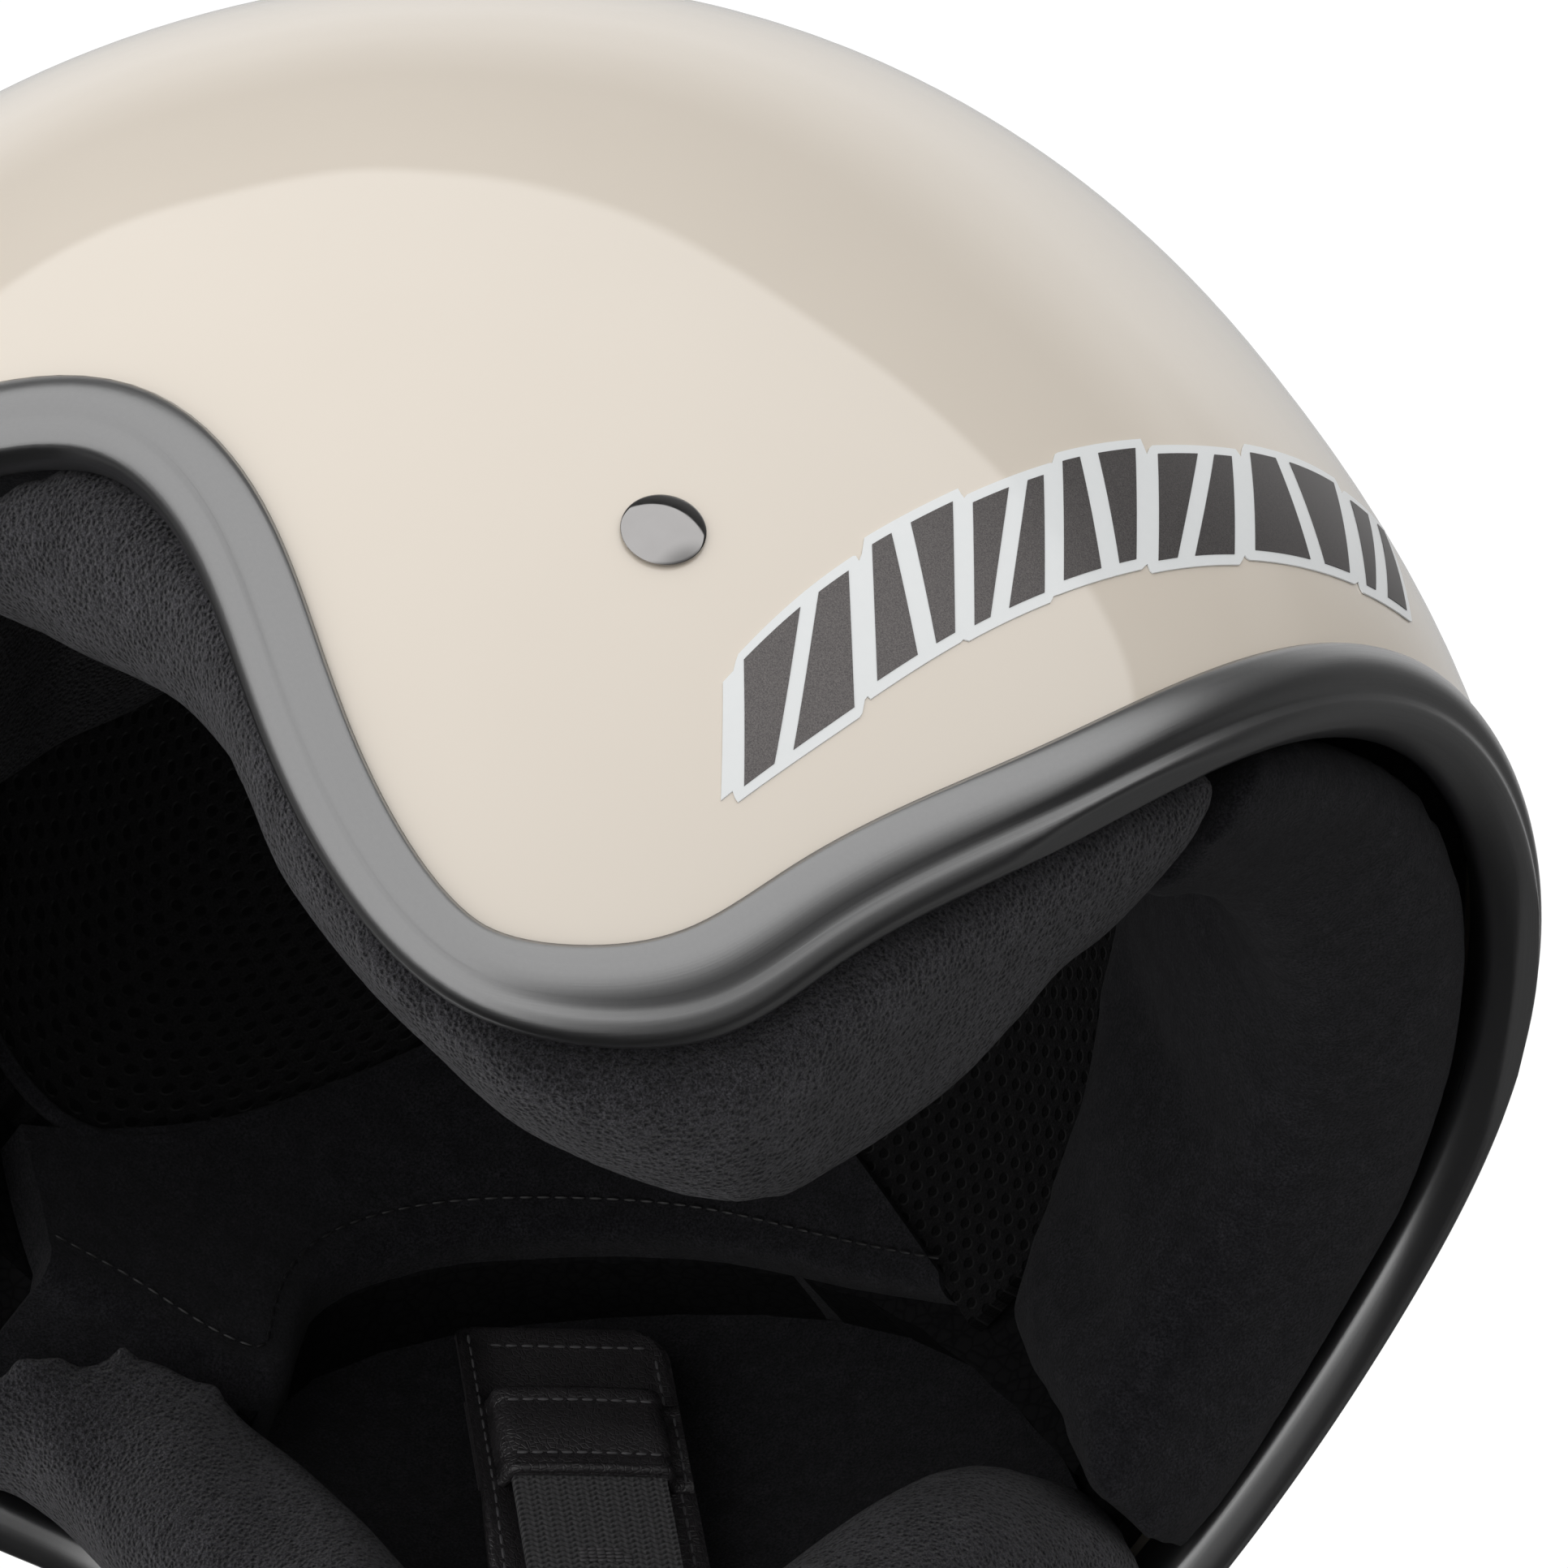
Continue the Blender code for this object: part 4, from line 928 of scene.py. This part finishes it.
def crown_band():
    """Sections of the padded band over the crown, from above the forehead to the back."""
    outline = (
        (-0.97, 0.2), (-0.6, 0.0), (0, 0.0), (0.6, 0.0), (0.97, 0.2), (0.94, 0.72), (0.55, 0.97), (0, 1.04),
        (-0.55, 0.97), (-0.94, 0.72),
    )
    smooth = closed_spline(outline, PAD_SECTION_POINTS)
    turns = np.radians(np.linspace(50, 146, 44))
    rings = []
    for i, turn in enumerate(turns):
        full = fullness(min(i, len(turns) - 1 - i) / 5, 0.4)
        lateral = smooth[:, 0] * (0.8 + 0.2 * full) * CROWN_PAD_HALF_WIDTH / 0.095
        direction = np.stack([np.sin(lateral), -np.cos(lateral) * math.cos(turn),
                              np.cos(lateral) * math.sin(turn)], axis=-1)
        rings.append(radial(direction, CROWN_PAD_BACK + CROWN_PAD_THICKNESS * smooth[:, 1] * full))
    return rings


# ---- Lining ---------------------------------------------------------------------------------

def lining(name, grids, look, node, fill, **options):
    """A sheet of lining fabric from (face, back) rows; it stands for a CAD node."""
    face, back = zip(*grids)
    sheet(name, face, back, look, [node], **options)


def make_side_liner(side, name):
    """Brushed side panel. Its foot rolls over the foam's corner and down the ear recess wall."""
    foot = spline(flat(SIDE_LINER_FOOT), 90)
    head = np.stack([foot[:, 0], np.full(len(foot), LINING_HEAD_HEIGHT)], axis=-1)
    up = left_normals(foot)
    tucked = foot + up * 0.2 * MM
    grids = []
    for share in np.linspace(0, 1, 22):
        level = head * (1 - share) + (foot + up * 3 * MM) * share
        grids.append((point(level, LINER_FACE + 0.9 * MM * math.sin(math.pi * share)),
                      point(level, LINER_BACK + 0.3 * MM)))
    for turn in np.radians((25, 50, 75, 90)):
        level = foot + up * (3 - 3.4 * math.sin(turn)) * MM
        grids.append((point(level, LINER_FACE - 4 * MM * (1 - math.cos(turn))),
                      point(tucked, LINER_BACK - 1 * MM * math.sin(turn))))
    for depth in np.linspace(LINER_FACE - 6 * MM, RECESS_FLOOR + 3 * MM, 8):
        grids.append((point(foot - up * 0.4 * MM, depth), point(tucked, depth)))
    lining("side_lining_" + name, grids, "brushed", "side_liner_" + name, 0.5, side=side)
    seam = [point(p + u * 5.5 * MM, LINER_FACE + 0.5 * MM) * (side, 1, 1) for p, u in zip(foot, up)]
    # The lining seam is sewn in the darker thread copy: painted shade.
    stitches("side_lining_seam_" + name, [seam], look="seam")


def make_ear_lining(side, name):
    """Brushed fabric over the bottom of the ear recess."""
    low, high = (spline(flat(curve), 60) for curve in (EAR_LINING_FOOT, EAR_LINING_HEAD))
    levels = [high * (1 - share) + low * share for share in np.linspace(0, 1, 26)]
    grids = [(point(level, EAR_LINING_DEPTH + 0.5 * MM), point(level, EAR_LINING_DEPTH - 0.7 * MM))
             for level in levels]
    lining("ear_hollow_" + name, grids, "brushed", "ear_lining_" + name, 0.3, side=side)


def make_crown_lining():
    """Mesh lining inside the crown, drawn together at the pole, with piping round its foot."""
    foot = whole_loop(spline(flat(CROWN_FOOT), 91))
    grids = []
    for depth in (MESH_FACE, LINER_BACK):
        grid = [radial(row, depth) for row in towards_pole(foot, depth, 46)]
        hub = POLE + 1e-4 * (grid[-1] - grid[-1].mean(0))
        grids.append([*grid, radial(hub, depth)])
    lining("crown_lining", zip(*grids), "mesh", "crown_mesh_liner", 0.3, closed=True)
    piping = [point(p + (0, 1.2 * MM), MESH_FACE + 1.2 * MM) for p in foot]
    tube("crown_piping", piping, 1.3 * MM, "brushed", closed=True)


def make_rear_panel():
    """Mesh panel above the neck pad."""
    foot = round_nape(spline(flat(REAR_PANEL_FOOT), 40))
    head = np.stack([foot[:, 0], np.full(len(foot), LINING_HEAD_HEIGHT)], axis=-1)
    grids = []
    for share in np.linspace(0, 1, 24):
        level = foot * (1 - share) + head * share
        grids.append((point(level, MESH_FACE + 1.0 * MM * math.sin(math.pi * share)),
                      point(level, LINER_BACK)))
    lining("rear_lining", grids, "mesh", "rear_mesh_panel", 0.3)


# ---- Rivets, plates and straps ---------------------------------------------------------------

def rivet_frame(side):
    """The rivet's place on the shell, its outward axis, and the plate's two directions."""
    angle = math.radians(RIVET_ANGLE)
    place = surface(angle, RIVET_HEIGHT) * (side, 1, 1)
    axis = outward(np.array([angle]), np.array([RIVET_HEIGHT]))[0] * (side, 1, 1)
    along = np.array([0, math.sin(STRAP_LEAN), math.cos(STRAP_LEAN)])
    along = unit(along - axis * along.dot(axis))
    return place, axis, along, np.cross(along, axis)


def make_rivet(side, name):
    """A turned rivet: domed cap, shank and tail, as (radius, height) points in mm."""
    place, axis, _, across = rivet_frame(side)
    dome = [(5.36 * k, 0.62 + 1.45 * (1 - k * k)) for k in np.linspace(0.002, 1, 22)]
    rim = [(5.43, 0.55), (5.46, 0.48), (5.43, 0.40), (5.34, 0.35), (5.1, 0.33), (2.3, 0.33), (2.2, 0.1)]
    tail = -(PLATE_DEPTH + PLATE_THICKNESS) / MM - 0.35
    shank = [(2.2, tail), (3.7, tail), (3.8, tail - 0.4), (3.1, tail - 1.15), (1.5, tail - 1.35),
             (0.01, tail - 1.4)]
    profile = dome + rim + shank
    steps, size = 72, len(profile)
    points = []
    for turn in np.linspace(0, FULL_TURN, steps, endpoint=False):
        out = math.cos(turn) * across + math.sin(turn) * np.cross(axis, across)
        points += [place + out * radius * MM + axis * height * MM for radius, height in profile]
    faces = grid_faces(steps, size, False)
    last = (steps - 1) * size
    faces += [(last + j, last + j + 1, j + 1, j) for j in range(size - 1)]
    faces += [tuple(range(start, steps * size, size)) for start in (0, size - 1)]
    piece("rivet_cap_" + name, points, faces, "chrome", "helmet", ["rivet_" + name])


def make_plate(side, name):
    """Stamped anchor plate: rounded corners, softened edges and a rivet hole."""
    place, axis, along, across = rivet_frame(side)
    turns = np.linspace(0, FULL_TURN, 64, endpoint=False)
    circle = np.stack([np.cos(turns), np.sin(turns)], axis=-1)
    power = 5
    reach = (np.abs(circle[:, 0]) ** power + np.abs(circle[:, 1]) ** power) ** (-1 / power)
    top, bottom = PLATE_DEPTH / MM, (PLATE_DEPTH + PLATE_THICKNESS) / MM
    rings = []
    for outline, hole in zip(circle * reach[:, None] * (11.5, 9.0), circle * 2.8):
        spots = (
            (hole, top + 0.25), (hole * 1.12, top), (outline * 0.975, top), (outline, top + 0.3),
            (outline, bottom - 0.3), (outline * 0.975, bottom), (hole * 1.12, bottom),
            (hole, bottom - 0.25),
        )
        rings.append([place + (across * x + along * y) * MM - axis * down * MM for (x, y), down in spots])
    loft("anchor_stamping_" + name, rings, "steel", "anchor_" + name, ["anchor_plate_" + name], closed=True)


def strap_point(side, w, l, m):
    """A head frame point from a strap's distances in mm."""
    along = np.array([0, math.sin(STRAP_LEAN), math.cos(STRAP_LEAN)])
    level = np.array([0, math.cos(STRAP_LEAN), -math.sin(STRAP_LEAN)])
    wall = np.array([side, 0, 0])
    across = level * math.cos(STRAP_TWIST) + wall * math.sin(STRAP_TWIST)
    inward = level * math.sin(STRAP_TWIST) - wall * math.cos(STRAP_TWIST)
    return np.array([side * STRAP_X, STRAP_Y, STRAP_Z]) + (across * w + along * l + inward * m) * MM


def band(name, side, path, look, body, node, width=WEBBING_WIDTH, thickness=WEBBING_THICKNESS, samples=60):
    """Woven band through (l, m) points, with softened selvedges."""
    path = spline(path, samples)
    wide, half = width / 2, thickness / 2
    shares = (-0.985, -0.9, -0.45, 0, 0.45, 0.9, 0.985)
    section = [(-wide, 0), *((wide * share, -half) for share in shares)]
    section += [(wide, 0), *((wide * share, half) for share in shares[::-1])]
    rings = [[strap_point(side, w, l + t * nl, m + t * nm) for w, t in section]
             for (l, m), (nl, nm) in zip(path, left_normals(path))]
    flow = np.zeros((samples, len(section), 3))
    flow[..., 0] = travel(path)[:, None]
    flow[..., 1] = [w + wide for w, _ in section]
    faces = loft_faces(samples, len(section))
    piece(name, np.reshape(rings, (-1, 3)), faces, look, body, [node], flow)


def arc_path(centre, radius, start, end, count):
    return [(centre[0] + radius * math.cos(math.radians(a)), centre[1] + radius * math.sin(math.radians(a)))
            for a in np.linspace(start, end, count)]


def comfort_pad(name, side, low, high, m, body, node, curl):
    """Leather pad of two layers with a turned edge; its front edge can curl towards the head."""
    half, thick = LEATHER_WIDTH / 2, LEATHER_THICKNESS / 2
    across = np.concatenate([np.linspace(-1, -0.9, 5), np.linspace(-0.8, 0.8, 13), np.linspace(0.9, 1, 5)])

    def lift(w, l):
        return curl * max(0.0, (-w - 0.55) / 0.45) ** 2 * min(1, max(0, l - 6) / 18)

    rings = []
    for l in low + (high - low) * np.linspace(0, 1, 56):
        to_end = min(l - low, high - l)
        wide = half * (1 - 0.24 * max(0.0, 1 - to_end / 6) ** 2)
        upper, lower = [], []
        for w in across:
            middle = m + lift(w, l) * min(1, (high - l) / 6)
            bead = thick * (1.0 if abs(w) < 0.97 else 0.55) * (1.0 if to_end > 0.6 else 0.6)
            groove = 0.22 if 0.84 < abs(w) < 0.88 else 0.0
            upper.append(strap_point(side, w * wide, l, middle + bead - groove))
            lower.append(strap_point(side, w * wide, l, middle - bead))
        rings.append(upper + lower[::-1])
    loft(name, rings, "leather", body, [node])
    top = m + thick + 0.05
    lines = [[strap_point(side, w * half, l, top + lift(w, l)) for l in np.linspace(low + 2, high - 4, 40)]
             for w in (-0.86, 0.86)]
    lines.append([strap_point(side, w * half, high - 4, top) for w in np.linspace(-0.8, 0.86, 24)])
    stitches(name + "_stitching", lines, body, pitch=2.4, length=1.7, radius=0.26)


def make_keeper(side, body):
    """Leather keeper sewn across the comfort pad, with a rolled front edge."""
    half, low, high = 16.0, 1.15, 4.7
    start, end = KEEPER_SPAN
    rise = [(half, low), (half - 3.0, low + 0.1), (half - 4.0, low + 1.2), (half - 4.6, high - 0.3),
            (half - 6.0, high)]
    section = [(-w, m) for w, m in rise] + [(0, high + 0.25)] + rise[::-1]
    path = spline(section, 40)
    normal = left_normals(path)
    rings = []
    for l, share in (
        (start, 0.25), (start + 0.35, 0.8), (start + 1.2, 1.05), (start + 2.6, 1.0), (start + 3.3, 0.72),
        (start + 4.0, 0.95), (start + 8, 1.0), (end - 4.0, 0.95), (end - 3.3, 0.72), (end - 2.6, 1.0),
        (end - 1.0, 0.95), (end - 0.3, 0.7), (end, 0.2),
    ):
        outline = [*(path + normal * 1.15 * share), *path[::-1]]
        rings.append([strap_point(side, w, l, m) for w, m in outline])
    loft("strap_keeper", rings, "leather", body, ["strap_keeper_right"])
    roll = [strap_point(side, w, start + 0.7, m + 0.75) for w, m in spline(section[1:-1], 40)]
    tube("strap_keeper_roll", roll, 0.8 * MM, "leather", body)
    sewn = (path + normal * 1.2)[8:-8]
    lines = [[strap_point(side, w, l, m) for w, m in sewn] for l in (start + 3.3, end - 3.3)]
    for w in (1.2 - half, half - 1.2):
        lines.append([strap_point(side, w, l, low + 1.2) for l in np.linspace(start + 1, end - 1, 12)])
    stitches("strap_keeper_stitching", lines, body, pitch=2.2, length=1.6, radius=0.24)


def make_right_strap():
    """The long strap, stowed: comfort pad, sewn keeper, and the webbing's run under the keeper."""
    side, body, top = -1, "strap_right", RIGHT_STRAP_LENGTH
    back = [(2.5, -3.2), (top / 2, -3.3), (top - 3, -3.2)]
    band("long_strap_back", side, back, "webbing", body, "strap_webbing_right_back")
    front = [(KEEPER_SPAN[1] - 3, 3.5), (20, 3.55), (4, 3.5), (0, 3.4), (-2.4, 2.9)]
    band("long_strap_front", side, front, "webbing", body, "strap_webbing_right_front")
    comfort_pad("long_strap_pad", side, 4, top, 0, body, "strap_pad_right", 4.5)
    make_keeper(side, body)
    tack = [[strap_point(side, w, l, 4.42) for w in np.linspace(-4, 4, 9)] for l in (11, 11.7, 12.4, 13.1)]
    stitches("strap_bartack", tack, body, ["strap_bartack_right"], pitch=1.3, length=1.2, radius=0.24)


def make_left_strap():
    """The short strap, its comfort pad and the loop that holds both D-rings."""
    side, body, top = 1, "strap_left", LEFT_STRAP_LENGTH
    loop = [(2.5, -3.9), (top / 2, -3.9), *arc_path((top + 2.2, 0.9), 4.8, -90, 90, 7), (top - 6, 5.6),
            (top - 14, 5.5)]
    band("short_strap_loop", side, loop, "webbing", body, "strap_webbing_left", samples=110)
    comfort_pad("short_strap_pad", side, 4, top + 2, -6.4, body, "strap_pad_left", 0)
    make_ring("ring_bow_outer", "d_ring_outer", "ring_outer", top + 2.4, -0.85)
    make_ring("ring_bow_inner", "d_ring_inner", "ring_inner", top + 2.4, 2.75)
    tab = [(top + 18, 5.9), (top + 12, 5.9), (top + 9, 6.5), (top + 6.5, 7.4)]
    band("release_tab", side, tab, "pull_tab", "ring_inner", "pull_tab", 12, 1.2, 40)


def make_ring(name, node, body, l, m):
    """A D-ring: a straight bar in the webbing's loop and a bow beyond it."""
    corner = 4.0
    bar = RING_HALF_WIDTH - corner
    bend = [(bar + w, rise) for w, rise in arc_path((0, corner), corner, -80, 0, 9)]
    outline = [(w, 0) for w in np.linspace(-bar, bar, 13)] + bend
    outline += arc_path((0, RING_DEPTH - RING_HALF_WIDTH), RING_HALF_WIDTH, 0, 180, 41)
    outline += [(-w, rise) for w, rise in bend[::-1]]
    path = [strap_point(1, w, l + rise, m) for w, rise in outline]
    tube(name, path, RING_WIRE_RADIUS, "steel", body, [node], closed=True, sides=20)


def make_anchor_webbing(side, name):
    """The short loop of webbing from an anchor plate to its strap's fold."""
    path = [(2.5, -13.2), (-0.8, -12.9), (-3.3, -11.2), (-3.8, -8), (-3.2, -4), (-2.4, -1.2)]
    band("anchor_loop_" + name, side, path, "webbing", "anchor_" + name, "anchor_webbing_" + name, samples=40)


# ---- Decals -----------------------------------------------------------------------------------

# Blocks of the band, as shares of its length (start, end) and of its height (foot, head).
BLOCKS = (
    (0.015, 0.155, 0.07, 0.90), (0.185, 0.285, 0.13, 0.97), (0.31, 0.40, 0.11, 0.90),
    (0.425, 0.52, 0.14, 0.96), (0.55, 0.655, 0.10, 0.90), (0.685, 0.835, 0.14, 0.96),
    (0.865, 0.945, 0.10, 0.88),
)
BLOCK_SLANT = 0.045
BLOCK_SPLIT_LEAN = 0.14
BLOCK_SPLIT_GAP = 0.012
OUTLINE_BORDER = 0.075
DECAL_EDGES = (flat(DECAL_FOOT), flat(DECAL_HEAD))


def decal_point(s, t, lift):
    """A point above the shell from the band's shares of length and height."""
    low, high = (spline(curve, 1, at=[s + BLOCK_SLANT * t])[0] for curve in DECAL_EDGES)
    return point(low * (1 - t) + high * t, -lift)


def patch(corners, lift, depth, across=10, up=12):
    """A slab that follows the shell between four (s, t) corners; returns its points and faces."""
    a, b, c, d = (np.array(corner) for corner in corners)
    points = []
    for lay in (lift, lift - depth):
        for v in np.arange(up + 1) / up:
            for u in np.arange(across + 1) / across:
                s, t = (a * (1 - u) + b * u) * (1 - v) + (d * (1 - u) + c * u) * v
                points.append(decal_point(s, t, lay))
    return points, sheet_faces(up + 1, across + 1)


def make_outline(side, name):
    """The white die-cut outline, which steps up and down round the blocks."""
    samples = np.linspace(-0.015, 0.955, 260)
    spans = []
    for s in samples:
        low, high = 0.10, 0.90
        for start, end, bottom, peak in BLOCKS:
            reach = (end - start) / 2 + 0.012
            near = np.clip((reach - abs(s - (start + end) / 2)) / 0.006 + 0.5, 0, 1)
            low += (bottom - OUTLINE_BORDER - low) * near
            high += (peak + OUTLINE_BORDER - high) * near
        spans.append((low, high))
    face, back = (
        [[decal_point(s, low + (high - low) * v, lift) for s, (low, high) in zip(samples, spans)]
         for v in np.linspace(0, 1, 12)]
        for lift in (0.26 * MM, 0.06 * MM)
    )
    sheet("decal_outline_" + name, face, back, "decal", ["decal_" + name], side)


def make_decal(side, name):
    """Generic die-cut band: a white outline round slanted charcoal blocks, each split by a gap."""
    make_outline(side, name)
    points, faces = [], []
    for number, (start, end, bottom, peak) in enumerate(BLOCKS):
        lean = BLOCK_SPLIT_LEAN if number % 2 else -BLOCK_SPLIT_LEAN
        wide = end - start
        low, high = start + wide * (0.5 + lean), start + wide * (0.5 - lean)
        for corners in (
            ((start, bottom), (low - BLOCK_SPLIT_GAP, bottom), (high - BLOCK_SPLIT_GAP, peak), (start, peak)),
            ((low + BLOCK_SPLIT_GAP, bottom), (end, bottom), (end, peak), (high + BLOCK_SPLIT_GAP, peak)),
        ):
            some, theirs = patch(corners, 0.36 * MM, 0.08 * MM)
            faces += [tuple(i + len(points) for i in face) for face in theirs]
            points += some
    piece("decal_blocks_" + name, np.asarray(points) * (side, 1, 1), faces, "ink")


# ---- Stage ------------------------------------------------------------------------------------

LENS_MM = 191.2
CAMERA_DISTANCE = 1.1032
CAMERA_AZIMUTH = math.radians(-25.68)
CAMERA_ELEVATION = math.radians(-40.26)
CAMERA_ROLL = math.radians(-34.12)
CAMERA_TARGET = (0.0536, 0.0246, -0.0426)


def make_camera():
    view = Vector((math.cos(CAMERA_ELEVATION) * math.cos(CAMERA_AZIMUTH),
                   math.cos(CAMERA_ELEVATION) * math.sin(CAMERA_AZIMUTH), math.sin(CAMERA_ELEVATION)))
    upright = (Vector((0, 0, 1)) - view * view.z).normalized()
    level = upright.cross(view)
    right = level * math.cos(CAMERA_ROLL) + upright * math.sin(CAMERA_ROLL)
    up = upright * math.cos(CAMERA_ROLL) - level * math.sin(CAMERA_ROLL)
    place = Vector(CAMERA_TARGET) + view * CAMERA_DISTANCE
    camera = bpy.data.cameras.new("camera")
    camera.lens = LENS_MM
    camera.sensor_width = 36
    camera.clip_start = 0.01
    thing = bpy.data.objects.new("camera", camera)
    bpy.context.scene.collection.objects.link(thing)
    axes = Matrix((right, up, view)).transposed().to_4x4()
    thing.matrix_world = HEAD @ Matrix.Translation(place) @ axes
    bpy.context.scene.camera = thing


# Studio: one broad bright side, a darker gap beside it and a soft white return on the far side,
# as mirrored surfaces show them, and an even soft light for the rest. Little comes from below.
KEY_WAY = (0.957, -0.263, -0.120)
KEY_EDGE = 0.262
KEY_EDGE_BLUR = 0.012
KEY_LIGHT = 1.2
GAP_LIGHT = 0.05
RETURN_LIGHT = 0.8
SOFT_LIGHT = 1.15
LIGHT_FROM_BELOW = 0.24
EXTRA_FALL_IN_MIRRORS = 0.3
BACKDROP_LIGHT = 1.05

# Light levels against the cosine of the angle from the bright side.
MIRRORED_LEVELS = (
    (-0.95, RETURN_LIGHT * 0.6), (-0.75, RETURN_LIGHT * 0.7), (-0.40, RETURN_LIGHT),
    (-0.25, RETURN_LIGHT * 0.8), (-0.06, GAP_LIGHT * 3), (KEY_EDGE - KEY_EDGE_BLUR, GAP_LIGHT),
    (KEY_EDGE + KEY_EDGE_BLUR, KEY_LIGHT), (0.95, KEY_LIGHT),
)
SOFT_LEVELS = (
    (-0.95, SOFT_LIGHT), (-0.3, SOFT_LIGHT), (0.0, SOFT_LIGHT * 0.9), (0.3, SOFT_LIGHT), (0.95, SOFT_LIGHT),
)


def levels(studio, toward_key, stops):
    """Grey levels by the cosine of the angle from the bright side."""
    node = studio.add("ValToRGB", Fac=studio.between(toward_key, -1, 1))
    ramp = node.color_ramp
    while len(ramp.elements) < len(stops):
        ramp.elements.new(0.5)
    for element, (at, level) in zip(ramp.elements, stops):
        element.position = (at + 1) / 2
        element.color = (level, level, level, 1)
    return node.outputs["Color"]


def make_world():
    world = bpy.data.worlds.new("studio")
    bpy.context.scene.world = world
    world.use_nodes = True
    world.cycles.sampling_method = "NONE"
    studio = Nodes(world.node_tree)
    studio.nodes.clear()
    way = studio.add("TexCoord").outputs["Generated"]
    toward_key = studio.add("VectorMath", operation="DOT_PRODUCT", i0=way, i1=KEY_WAY).outputs["Value"]
    _, y, z = studio.add("SeparateXYZ", Vector=way).outputs
    rays = studio.add("LightPath").outputs
    mirrored = levels(studio, toward_key, MIRRORED_LEVELS)
    soft = levels(studio, toward_key, SOFT_LEVELS)
    near_side = studio.between(toward_key, -0.15, 0.10, interpolation="SMOOTHSTEP")
    behind = studio.between(y, -0.35, 0.20, 0.15, 1.0, "SMOOTHSTEP")
    kept = studio.math("MAXIMUM", near_side, behind)
    masked = studio.add("VectorMath", operation="SCALE", i0=mirrored, Scale=kept).outputs[0]
    seen = studio.add("Mix", data_type="RGBA", i0=rays["Is Glossy Ray"], i6=soft, i7=masked).outputs[2]
    dark_end, light_end = (studio.between(toward_key, -0.30, KEY_EDGE, far_side, key_side)
                           for far_side, key_side in ((0.0, -0.90), (0.35, -0.30)))
    below = studio.between(z, dark_end, light_end, LIGHT_FROM_BELOW, 1.0, "SMOOTHSTEP")
    power = studio.total(studio.times(rays["Is Glossy Ray"], EXTRA_FALL_IN_MIRRORS), 1.0)
    lit = studio.add("Background", Color=seen, Strength=studio.math("POWER", below, power))
    backdrop = studio.add("Background", Color=(BACKDROP_LIGHT, BACKDROP_LIGHT, BACKDROP_LIGHT, 1))
    mix = studio.add("MixShader", i0=rays["Is Camera Ray"], i1=lit.outputs[0], i2=backdrop.outputs[0])
    studio.add("OutputWorld", Surface=mix.outputs[0])


def make_floor():
    """A pale floor that is seen from above only, so that it never hides the helmet from below."""
    mesh = bpy.data.meshes.new("floor")
    reach = 4.0
    corners = [(-reach, -reach, 0), (reach, -reach, 0), (reach, reach, 0), (-reach, reach, 0)]
    mesh.from_pydata(corners, [], [(0, 1, 2, 3)])
    floor = bpy.data.objects.new("floor", mesh)
    floor.location.z = -0.4 * MM
    bpy.context.scene.collection.objects.link(floor)
    material = bpy.data.materials.new("pale_floor")
    material.use_nodes = True
    tree = Nodes(material.node_tree)
    tree.nodes.clear()
    pale = tree.add("BsdfDiffuse", Color=(0.86, 0.86, 0.86, 1))
    glow = tree.add("Emission", Color=(0.30, 0.30, 0.30, 1))
    both = tree.add("AddShader", i0=pale.outputs[0], i1=glow.outputs[0])
    camera_ray = tree.add("LightPath").outputs["Is Camera Ray"]
    from_below = tree.add("NewGeometry").outputs["Backfacing"]
    seen = tree.add("Math", operation="SUBTRACT", use_clamp=True, i0=camera_ray, i1=from_below)
    clear = tree.add("BsdfTransparent")
    mix = tree.add("MixShader", i0=seen.outputs[0], i1=clear.outputs[0], i2=both.outputs[0])
    tree.add("OutputMaterial", Surface=mix.outputs[0])
    mesh.materials.append(material)


# ---- Assembly ---------------------------------------------------------------------------------

def attach():
    """Rides each piece on its body and hides the CAD nodes that it stands for."""
    for thing, body, nodes, slot in made:
        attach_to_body(thing, body)
        if nodes:
            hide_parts(*nodes)


def main():
    make_camera()
    make_world()
    make_floor()
    bpy.context.scene.view_settings.view_transform = "Standard"
    make_shell()
    make_trim()
    make_pads()
    make_crown_lining()
    make_rear_panel()
    for side, name in ((1, "left"), (-1, "right")):
        make_side_liner(side, name)
        make_ear_lining(side, name)
        make_rivet(side, name)
        make_plate(side, name)
        make_anchor_webbing(side, name)
        make_decal(side, name)
    make_right_strap()
    make_left_strap()
    for slot in frame["nodes"]["eps_liner"].material_slots:
        slot.material = LOOKS["foam"]
    attach()


main()
